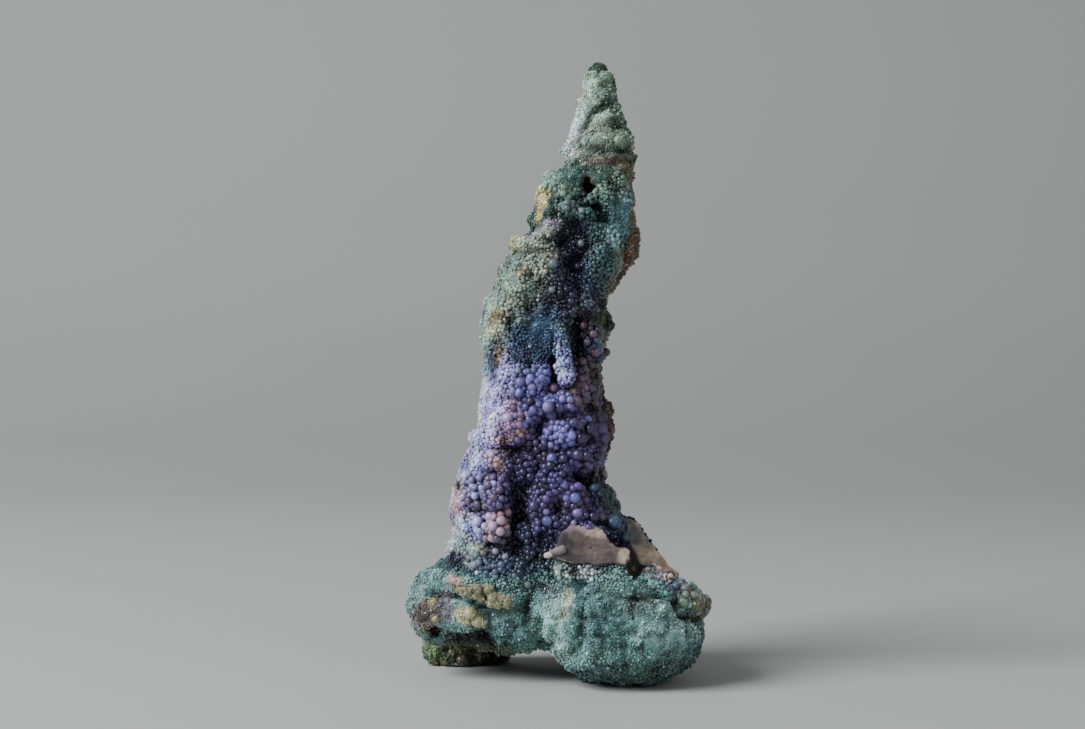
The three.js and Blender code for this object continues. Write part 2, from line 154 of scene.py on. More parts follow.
# colour of the painted highlight on the tips
TIP_HIGHLIGHT_COLOUR = np.array([0.72, 0.70, 0.80])
GRAPE_LIFT = 0.3  # how far single grapes stand out, in their radius
GRAPE_TONE = 0.85  # share of the named colour that they have
NODULE_SINK = 0.4  # how far nodules are sunk, in their radius
NODULE_SIZE = 1.15
NODULE_TONE = 0.6
CRUST_SHARE = 16.0  # crystals on a nodule of radius 1
CRUST_GRAIN = (0.22, 0.46)  # radii of those crystals
CRUST_FRONT = 0.8  # how much they keep to the nodule's front
CRUST_TONES = 0.3  # spread of their tones
MOST_TRIANGLES = 190000  # in one piece
FEW_CORNERS = 20  # balls with fewer corners are dented too

# Size classes in the order in which they are strewn: name, radii, candidates, spacing, lift and its
# spread as shares of the radius, where they grow, and the share of bright ones, which are painted
# glints.
CLASSES = [
    ("grapes", (0.95, 1.65), 30000, 0.52, 0.25, 0.4, "beads", 0.0),
    ("small_grapes", (0.62, 0.95), 50000, 0.56, 0.20, 0.4, "beads", 0.0),
    ("berrys", (0.40, 0.64), 60000, 0.68, 0.30, 0.4, "beads", 0.02),
    ("crystals", (0.30, 0.54), 110000, 0.64, 0.10, 0.45, "sugar", 0.04),
    ("chips", (0.50, 0.95), 45000, 0.62, 0.05, 0.4, "back", 0.03),
]
# What the joined balls of each piece are made from: solid, cuts, wobble, material.
LOOKS = {
    "tip_cap": ("icosahedron", 3, 0.08, "seed_skin"),
    "single_grapes": ("icosahedron", 2, 0.06, "grape_skin"),
    "nodules": ("icosahedron", 2, 0.2, "crystal_crust"),
    "crust": ("octahedron", 0, 0.35, "crystal_crust"),
    "stub": ("icosahedron", 2, 0.05, "plate_face"),
    "grapes": ("octahedron", 2, 0.07, "grape_skin"),
    "small_grapes": ("icosahedron", 1, 0.09, "grape_skin"),
    "berrys": ("octahedron", 1, 0.2, "seed_skin"),
    "crystals": ("octahedron", 0, 0.35, "crystal_crust"),
    "chips": ("octahedron", 0, 0.35, "crystal_crust"),
}
GOLD = (1 + math.sqrt(5)) / 2
# Corners and faces of those solids.
SOLIDS = {
    "octahedron": (
        [(1, 0, 0), (-1, 0, 0), (0, 1, 0), (0, -1, 0), (0, 0, 1), (0, 0, -1)],
        [(0, 2, 4), (2, 1, 4), (1, 3, 4), (3, 0, 4), (2, 0, 5), (1, 2, 5), (3, 1, 5), (0, 3, 5)],
    ),
    "icosahedron": (
        [(-1, GOLD, 0), (1, GOLD, 0), (-1, -GOLD, 0), (1, -GOLD, 0), (0, -1, GOLD), (0, 1, GOLD),
         (0, -1, -GOLD), (0, 1, -GOLD), (GOLD, 0, -1), (GOLD, 0, 1), (-GOLD, 0, -1), (-GOLD, 0, 1)],
        [(0, 11, 5), (0, 5, 1), (0, 1, 7), (0, 7, 10), (0, 10, 11), (1, 5, 9), (5, 11, 4),
         (11, 10, 2), (10, 7, 6), (7, 1, 8), (3, 9, 4), (3, 4, 2), (3, 2, 6), (3, 6, 8), (3, 8, 9),
         (4, 9, 5), (2, 4, 11), (6, 2, 10), (8, 6, 7), (9, 8, 1)],
    ),
}

# ------------ materials
# Roughness, subsurface, bump, change of tone, coat, sheen.
MATERIALS = {
    "stone_rock": (0.6, 0.05, 0.5, 0.25, 0.0, 0.0),
    "grape_skin": (0.33, 0.5, 0.2, 0.12, 0.45, 0.08),
    "seed_skin": (0.5, 0.3, 0.2, 0.15, 0.1, 0.05),
    "crystal_crust": (0.32, 0.2, 0.3, 0.2, 0.25, 0.1),
    "plate_face": (0.75, 0.0, 0.8, 0.12, 0.0, 0.1),
}
CLOUD_SCALE = 900
CLOUD_SPAN = (0.3, 0.7)  # values of the cloudy noise that give the darkest and the lightest tone
FINE_SCALE = 2600
RELIEF = 0.2  # height of the fine bumps
GLOSS_SPAN = (-0.1, 0.12)  # how far roughness goes below and above its value
ALWAYS = {  # what all of them share
    "Subsurface Radius": (1.3, 0.8, 1.1),
    "Subsurface Scale": 0.8 * MM,
    "IOR": 1.54,
    "Specular IOR Level": 0.3,
    "Coat Roughness": 0.17,
    "Sheen Roughness": 0.4,
    "Sheen Tint": (0.85, 0.85, 1.0, 1),
}

# ------------ colours by place
# The palette, sRGB from 0 to 255.
PALETTE = {
    "lichen": (112, 130, 112), "pine": (44, 72, 56), "sage": (160, 184, 164), "moss": (104, 130, 106),
    "mist": (190, 220, 202), "chalk": (240, 254, 254), "jade": (132, 164, 136),
    "taupe": (130, 120, 106), "spruce": (70, 106, 98), "foam": (138, 186, 168), "ivy": (62, 88, 78),
    "aqua": (134, 182, 190), "teal": (47, 81, 79), "abyss": (26, 62, 66), "slate": (96, 114, 118),
    # umber, the dark brown, is painted shade in hollows, clefts and grooves, and under the plates
    "straw": (216, 206, 150), "indigo": (30, 42, 76), "olive": (206, 206, 156), "umber": (64, 50, 38),
    "rust": (140, 94, 58), "night": (26, 26, 60), "fern": (150, 164, 134), "ochre": (146, 122, 72),
    "mint": (162, 200, 192), "denim": (52, 82, 112), "fog": (96, 110, 96),
    # prune is also painted as shade in the ground between round beads
    "periwinkle": (158, 170, 234), "prune": (44, 32, 48), "bottle": (60, 72, 46),
    "plum": (104, 78, 100), "violet": (68, 53, 102), "iris": (112, 107, 184), "mauve": (174, 178, 246),
    "frost": (228, 233, 255), "peach": (190, 150, 140), "dusk": (98, 80, 108),
    "orchid": (186, 168, 206), "rose": (184, 152, 172), "cream": (192, 190, 150), "ink": (36, 28, 74),
    "damson": (52, 38, 88), "navy": (22, 31, 62), "lavender": (128, 114, 176), "steel": (66, 90, 120),
    # the black first colour on the next line is painted shade in pits, grooves, hollows and under the
    # left lobe
    "shade_black": (20, 18, 16), "stone": (128, 132, 130), "dust": (112, 102, 96), "ash": (136, 134, 146),
    # the near-black first colour on the next line is painted shade under the left lobe
    "underside_shade": (28, 26, 28), "leaf": (100, 132, 88), "sea": (84, 118, 118), "sand": (214, 180, 160),
    "khaki": (124, 126, 96), "lagoon": (102, 146, 141), "surf": (124, 168, 165), "plate": (98, 87, 83),
    "shade": (62, 58, 64), "edge": (192, 174, 156), "tan": (150, 106, 76), "lilac": (156, 148, 174),
    "pink": (168, 128, 170), "wine": (96, 58, 66), "raisin": (40, 33, 68), "grape": (60, 46, 87),
    "bark": (126, 108, 76), "cap": (56, 84, 68), "shell": (216, 198, 198), "earth": (112, 98, 80),
    "rock": (116, 114, 104),
}
# The ground colour, from the foot up: height, colour.
BANDS = [
    (0, "sea"), (8, "lagoon"), (26, "lagoon"), (33, "navy"), (40, "violet"), (76, "violet"),
    (82, "denim"), (92, "slate"), (112, "teal"), (126, "spruce"), (134, "lichen"), (150, "sage"),
    (156, "moss"), (160, "pine"),
]
# Patches of the front: colour, across, up, length, breadth, lean in degrees, strength.
PATCHES = [
    # the spire
    ("pine", 10.5, 158.2, 7, 4.6, 0, 0.9), ("jade", 10.5, 154.4, 6, 3, 0, 0.5),
    ("mist", 7, 148, 18, 5.4, 72, 0.85), ("mist", 12.4, 153.4, 4, 2, -30, 0.4),
    ("moss", 11.5, 150, 6, 5, 0, 0.5), ("moss", 14.6, 147, 20, 5.4, -74, 0.65),
    ("pine", 9.5, 145.3, 8.5, 1.6, 40, 0.75), ("pine", 6, 140.5, 5, 1.5, 60, 0.7),
    ("pine", 13.5, 141, 7, 4, -20, 0.35), ("mist", 12, 143.8, 5.5, 1.2, 25, 0.8),
    ("chalk", 4.4, 139.6, 12, 5, 72, 0.95), ("mist", 9.5, 138.3, 6, 2.6, 10, 0.7),
    ("jade", 16.5, 138.3, 4.6, 3.6, 0, 0.8), ("pine", 15.5, 135.6, 6.5, 1.6, -5, 0.9),
    ("taupe", 12.6, 132.2, 14, 3.4, 0, 0.8), ("straw", 10.3, 131.4, 3, 1.4, 0, 0.5),
    ("mist", 2.8, 134.4, 7, 3.6, 20, 0.8), ("chalk", 3.5, 135, 3, 2, 0, 0.6),
    # the teal head
    ("spruce", 5.5, 127.5, 20, 8.5, 0, 0.85), ("foam", -2.5, 128, 7, 5, 0, 0.8),
    ("mist", -3.5, 129.6, 4.5, 1.4, -10, 0.7), ("jade", 1.8, 125.2, 4.4, 3.4, -20, 0.8),
    ("ivy", 13, 127.8, 7, 5, 0, 0.7), ("khaki", 17.8, 129, 9, 3, 85, 0.8),
    # the dark brown patch at across 8.3, up 127: painted shade in the head's bare hole
    ("moss", 14.5, 126.4, 9, 6, 0, 0.5), ("umber", 8.3, 127, 4.6, 6, 0, 0.95),
    # the black patch at across 5, up 123 and the dark teal one at across 9, up 120.4: painted shade in
    # the crevice under the head's lumps
    ("shade_black", 5, 123, 4, 1.6, 30, 0.8), ("aqua", 15.6, 120, 9, 5.4, 85, 0.7),
    ("slate", 5.5, 120.8, 4.6, 3.4, -20, 0.8), ("abyss", 9, 120.4, 9, 2, -30, 0.9),
    # the dark brown patch at across -1, up 119.5: painted shade in a groove
    ("straw", -3.8, 121.8, 10, 3.4, 68, 0.9), ("umber", -1, 119.5, 6, 1.8, 80, 0.6),
    ("lilac", -1.5, 115.8, 6, 4.4, 0, 0.8), ("frost", -5.6, 114.6, 8, 3.4, 30, 0.45),
    # the shaft
    ("indigo", 4, 112, 14, 9, 90, 0.9), ("olive", -9.5, 111.5, 8, 3.6, -20, 0.9),
    # the dark brown patch at across -5, up 108.8: painted shade in the hollow under the olive ledge
    ("olive", -5.5, 110.5, 5, 2.4, -10, 0.7), ("umber", -5, 108.8, 6, 1.6, -10, 0.6),
    ("teal", 11.5, 111, 26, 9, 85, 0.85), ("aqua", 14, 113.5, 4, 6, 0, 0.5),
    ("moss", 14.6, 107, 9, 2, 85, 0.8), ("night", 2.5, 101, 30, 11, 80, 0.9),
    # the black patch at across 5.3, up 102.5: painted shade in a groove
    ("shade_black", 5.3, 102.5, 9, 1.6, 85, 0.4), ("denim", 7.8, 99, 18, 4, 95, 0.8),
    ("fern", -11.5, 98.5, 34, 11, 62, 0.9), ("ochre", -9, 104.5, 4, 3, 0, 0.6),
    # the dark brown patch at across -12, up 90: painted shade in a groove
    ("ochre", -16, 92.5, 6, 4, 60, 0.5), ("umber", -12, 90, 6, 1.8, 60, 0.4),
    ("ochre", -15.8, 83, 8, 3.6, 80, 0.8), ("mint", -18.6, 87, 26, 3.4, 85, 0.5),
    ("mint", -14, 100, 24, 3, 62, 0.4), ("fog", -7.5, 99, 22, 6, 70, 0.7),
    ("ivy", -11.5, 86.5, 9, 5, 90, 0.7), ("denim", -5, 88, 14, 15, 0, 0.9),
    ("steel", -4, 83, 12, 6, 0, 0.7), ("periwinkle", 1, 85.5, 9, 1.6, -80, 0.7),
    ("periwinkle", 2, 80, 13, 2.2, -82, 0.85), ("indigo", -1.2, 77.5, 9, 2.8, 75, 0.85),
    ("prune", 6.5, 88, 22, 7, 88, 0.9),
    # the grapes
    ("violet", -3.5, 63, 36, 26, 90, 0.9), ("iris", -5.5, 72.5, 12, 12, 0, 0.8),
    ("steel", -9.5, 79, 10, 4, 0, 0.6), ("pink", -12, 67, 12, 6, 80, 0.55),
    ("pink", -1.5, 74, 5, 4, 0, 0.4), ("pink", 4.5, 71.5, 6, 5, 0, 0.3),
    ("pink", -3, 57, 8, 4, 20, 0.25), ("iris", 3.5, 71.5, 7, 5, 0, 0.5),
    ("plum", 7.5, 75, 16, 7, 88, 0.85), ("prune", 9.5, 71, 22, 4, 85, 0.8),
    ("grape", 6.5, 62.5, 10, 10, 0, 0.8), ("iris", -0.3, 62, 7, 6, 30, 0.8),
    ("mauve", -17, 69, 24, 10, 78, 0.9), ("frost", -19.5, 70, 26, 3.4, 80, 0.6),
    ("mint", -18.8, 78.5, 7, 3, 80, 0.6), ("pink", -14, 71, 7, 4, 70, 0.3),
    ("peach", -12.5, 61.9, 8, 2, 15, 0.7), ("rose", -17, 61, 7, 3, 10, 0.7),
    # the dark brown patch at across -14, up 59.4: painted shade in the cleft under the ledge
    ("umber", -14, 59.4, 9, 1.4, 8, 0.5), ("dusk", -16.5, 56, 9, 6, -30, 0.8),
    ("peach", -15.6, 55, 5.5, 1.8, -50, 0.8), ("mauve", -22.5, 52, 30, 8, 67, 0.9),
    ("frost", -24.5, 49, 26, 4, 67, 0.7), ("dusk", -20, 48, 12, 8, 0, 0.85),
    ("ochre", -24.5, 48.5, 6, 2.2, 80, 0.5), ("ash", -25, 39.5, 11, 9, 0, 0.8),
    ("rose", -25, 43.5, 7, 4, 60, 0.8), ("rose", -16, 39.8, 10, 5.6, 80, 0.9),
    ("peach", -13.4, 39, 9, 1.8, 85, 0.8), ("mauve", -20.5, 37.5, 8, 5, 40, 0.7),
    ("frost", -27, 36, 10, 5, 60, 0.7), ("mint", -24, 34, 8, 5, 0, 0.5),
    ("cream", -20.2, 33.2, 3.4, 2.8, 0, 0.4), ("damson", -6, 54, 14, 10, 10, 0.9),
    ("damson", 1, 52, 16, 12, 0, 0.7), ("ink", -9.5, 45, 20, 9, 95, 0.9),
    ("navy", -9, 34.5, 18, 10, 0, 0.9), ("grape", 3.5, 44, 8, 6, 0, 0.7),
    ("damson", -2, 40, 6, 9, 0, 0.6), ("dusk", -1.6, 44.4, 3, 3, 0, 0.5),
    ("dusk", 9.5, 41.5, 5, 3, 0, 0.4), ("damson", 6, 50.5, 4.5, 3.5, 30, 0.7),
    ("navy", 9, 48, 6, 6, 0, 0.7), ("steel", 14.5, 38.5, 6, 6, -30, 0.8),
    # the shelf and the base
    ("ash", -21, 29.5, 8, 3.6, 0, 0.5), ("steel", -17, 27.6, 12, 5, 0, 0.7),
    ("navy", -10, 28.4, 14, 7, 0, 0.85), ("stone", 5, 27.3, 13, 4.4, 0, 0.6),
    ("slate", -2, 23, 12, 5, 0, 0.7), ("chalk", 8, 27, 7, 3, 0, 0.4), ("surf", -31, 25, 11, 5, 10, 0.8),
    ("mint", -35.5, 22, 6, 5, 60, 0.7), ("ash", -29.5, 17.5, 8, 10, 0, 0.9),
    ("dust", -34.5, 15.5, 8, 8, 90, 0.9), ("rust", -34.5, 18.5, 5, 2, 20, 0.3),
    # the dark brown patch at across -31.4, up 12.3: painted shade in a pit
    ("khaki", -33, 12.2, 6, 2.6, 10, 0.7), ("umber", -31.4, 12.3, 3, 2, 0, 0.9),
    ("chalk", -37.5, 13.5, 3, 4, 0, 0.5), ("straw", -31.8, 20, 4, 1.8, 50, 0.6),
    ("sand", -26.2, 24.6, 4, 2.2, -10, 0.9), ("cream", -23.8, 22.3, 5.6, 3.4, -25, 0.95),
    # the black patch at across -25.8, up 20.9: painted shade in a bare hollow
    ("shade_black", -25.8, 20.9, 3, 1, -30, 0.9), ("cream", -19.6, 22, 5.6, 4.4, -20, 0.95),
    # the dark brown patches at across -18.3 and -21.4, up about 21: painted shade in the hollows among
    # the cream lumps
    ("cream", -14.8, 19.7, 7.6, 3.8, -15, 0.95), ("umber", -18.3, 21.2, 1.8, 2.8, 0, 1),
    ("umber", -21.4, 20.3, 1.6, 2.4, 30, 0.8), ("mint", -25, 19, 4, 2.6, 0, 0.7),
    ("olive", -22.3, 15.8, 6, 5.6, 0, 0.9), ("cream", -19.2, 13.6, 2.6, 2.6, 0, 0.6),
    # the two near-black patches at up 8.6 to 10: painted shade under the left lobe
    ("underside_shade", -21, 10, 16, 3.6, -5, 0.9), ("shade_black", -21, 8.6, 20, 3.6, 0, 0.9),
    ("sea", -13, 14.5, 12, 8, 0, 0.7), ("spruce", -6.5, 15, 6, 10, 20, 0.5),
    ("surf", -3.5, 17, 6, 4, 0, 0.6), ("mint", 0.8, 16, 22, 6, 88, 0.8),
    ("surf", 3, 8, 10, 8, -40, 0.6), ("straw", 2.5, 18.5, 10, 3, 80, 0.4),
    # the black patch at across -2.6, up 8.6: painted shade in a hollow
    ("shade_black", -2.6, 8.6, 3.4, 1.6, 0, 0.8), ("spruce", 6, 14, 14, 3.4, 80, 0.8),
    ("sea", 10, 16, 12, 8, 70, 0.6), ("surf", 12, 24.5, 12, 4, -10, 0.6),
    ("spruce", 14.5, 9, 14, 4, 60, 0.6), ("slate", 20, 18, 12, 6, -20, 0.6),
    # the pale teal and mint patches on the right lobe, about across 26 to 31: its own pale colour,
    # partly painted light where it turns from the lamp
    ("surf", 26, 12, 18, 12, 30, 0.7), ("surf", 31.5, 12, 10, 13, 0, 0.7),
    # the dark brown patch at across 21.5, up 20.6: painted shade in a groove
    ("mint", 30, 13, 14, 15, 0, 0.8), ("umber", 21.5, 20.6, 6, 1.4, -25, 0.8),
    ("spruce", 22, 1.5, 26, 5, 8, 0.7), ("spruce", 35.5, 6, 10, 3, 60, 0.5),
    # the dark brown patch at across 20, up 27.5: painted shade in the cavity between the plates
    ("umber", 20, 27.5, 4, 4, 0, 0.9), ("shell", 27, 26.4, 8, 2.6, -25, 0.75),
    ("peach", 28.5, 26, 4, 1.8, -30, 0.5), ("ash", 31, 23.6, 6, 3, -20, 0.8),
    # the black patch at across 30.6, up 19.8: painted shade in a bare hollow
    ("shade_black", 30.6, 19.8, 2.6, 4, 20, 0.9), ("moss", 34, 20, 6, 5, 0, 0.8),
    ("khaki", 36.6, 18.5, 5, 5, 0, 0.9), ("mist", 34.6, 19.4, 5, 4, 0, 0.6),
    # the dark brown patch at across 34, up 15.4: painted shade in a groove
    ("umber", 34, 15.4, 5, 2, -20, 0.8),
]
# Patches of the right rim, which show at any depth.
RIM_PATCHES = [
    ("bark", 19.4, 115, 26, 3.4, 92, 0.9), ("bark", 16.5, 103, 12, 4, 50, 0.8),
    ("rust", 17.4, 107.4, 7, 3.6, 65, 0.5), ("ochre", 17, 108.6, 2.6, 2, 0, 0.7),
    ("bottle", 12.4, 92, 8, 6, 90, 0.95), ("khaki", 12, 86.4, 5, 4, 60, 0.9),
    # the dark brown patch at across 10.8, up 79 and the black one at across 12.6, up 50.5: painted shade
    # in hollows of the rim
    ("umber", 10.8, 79, 9, 3.4, 90, 0.8), ("umber", 13.2, 62, 20, 4.2, 92, 0.95),
    ("earth", 13.5, 66, 7, 2.4, 90, 0.5), ("shade_black", 12.6, 50.5, 3.4, 3.4, 0, 0.95),
    ("abyss", 13.2, 45.5, 9, 6, -65, 0.95), ("spruce", 14, 47, 4, 3, -60, 0.6),
]
# Patches of the feet, which show at any depth up to a height.
FOOT_PATCHES = [
    ("bottle", -22.5, 5, 30, 9, 0, 0.9), ("leaf", -33, 6.2, 9, 5.4, 75, 0.75),
    ("khaki", -22, 6.6, 12, 4, 0, 0.5),
]
FOOT_TOP = 11.0
# Patches of the back, with across as the front has it.
BACK_PATCHES = [
    ("fog", 8, 140, 20, 22, 0, 0.9), ("spruce", 6, 118, 22, 12, 70, 0.7),
    ("fog", -8, 92, 26, 12, 70, 0.7), ("slate", -4, 60, 20, 12, 80, 0.6),
    ("dusk", 3, 48, 12, 10, 20, 0.5), ("foam", 16, 20, 26, 20, 0, 0.8),
    ("foam", -24, 16, 20, 14, 20, 0.7), ("ochre", 4, 82, 12, 6, 40, 0.4),
]

# ------------ forms and sizes by place
# The largest beads: radius, across, up, length, breadth, lean.
BEAD_SIZES = [
    (0.45, 10, 146, 26, 14, 90), (0.62, 7, 124.5, 28, 15, 0), (0.85, 1.8, 125.2, 5, 4, 0),
    (0.9, 5.5, 120.5, 6, 4, -20), (0.62, 3, 104, 34, 12, 80), (0.8, 2, 99, 16, 6, 85),
    (0.6, 13.5, 114, 28, 9, 85), (0.66, -12.5, 96, 36, 15, 62), (0.46, -4.5, 87, 15, 15, 0),
    (1.35, 8, 80, 22, 9, 88), (0.48, 1.6, 80.5, 24, 4.6, -82), (0.95, -6.5, 76.5, 12, 8, 0),
    (0.6, -16.5, 67, 18, 11, 70), (1.5, -3.5, 66, 17, 17, 0), (0.8, -0.3, 62, 7, 7, 30),
    (1.6, 6.5, 62, 14, 14, 0), (1.45, -1.5, 50, 30, 26, 60), (1.2, -9.5, 44, 20, 9, 95),
    (0.75, -15.5, 56.5, 12, 7, -20), (0.95, -20, 48, 13, 9, 0), (1.35, -16, 39.8, 11, 7, 80),
    (0.52, -25.5, 37, 18, 7, 65), (1, -10.5, 32.5, 24, 9, 0), (0.95, -15, 28.5, 12, 6, 0),
    (0.6, 3.5, 27.5, 20, 7, 0), (1.3, 13.5, 43, 9, 8, -50), (1, 33, 21.5, 12, 8, -10),
    (0.6, 26.5, 27.8, 10, 4.6, -25), (0.7, 22, 23.5, 8, 5, 0),
]
# Clumps that the beads grow in: rise, clump width, across, up, length, breadth, lean.
CLUMPS = [
    (1, 2.8, 10, 146, 26, 14, 90), (1.7, 3.4, 7, 123, 28, 18, 0), (1.3, 3.6, 3, 102, 30, 14, 80),
    (1.4, 3.4, -13, 95, 40, 17, 62), (0.7, 3, -4.5, 86.5, 16, 14, 0), (1.3, 3.6, 8.5, 80, 22, 9, 88),
    (2.2, 4.6, -6, 72, 16, 18, 0), (3, 6.2, 0, 53, 34, 26, 70), (2.2, 5, -9, 44, 24, 10, 92),
    (2.4, 6, -19, 46, 26, 12, 80), (0.8, 3.6, -17.5, 68, 20, 9, 75), (1.5, 3.4, -10, 31, 30, 10, 0),
    (1.1, 3, 4, 26.5, 20, 7, 0), (0.9, 2.6, 18, 13, 44, 30, 0), (1.2, 3, -25, 17, 30, 22, 0),
    (1.5, 3.4, 34, 20, 13, 11, 90),
]
PLAIN_CLUMPS = (1.3, 3.8, 71)  # everywhere else: rise, clump width, seed
CLUMP_SEED = 72  # of the first row's domes,
CLUMP_SEED_STEP = 4  # and what each row adds
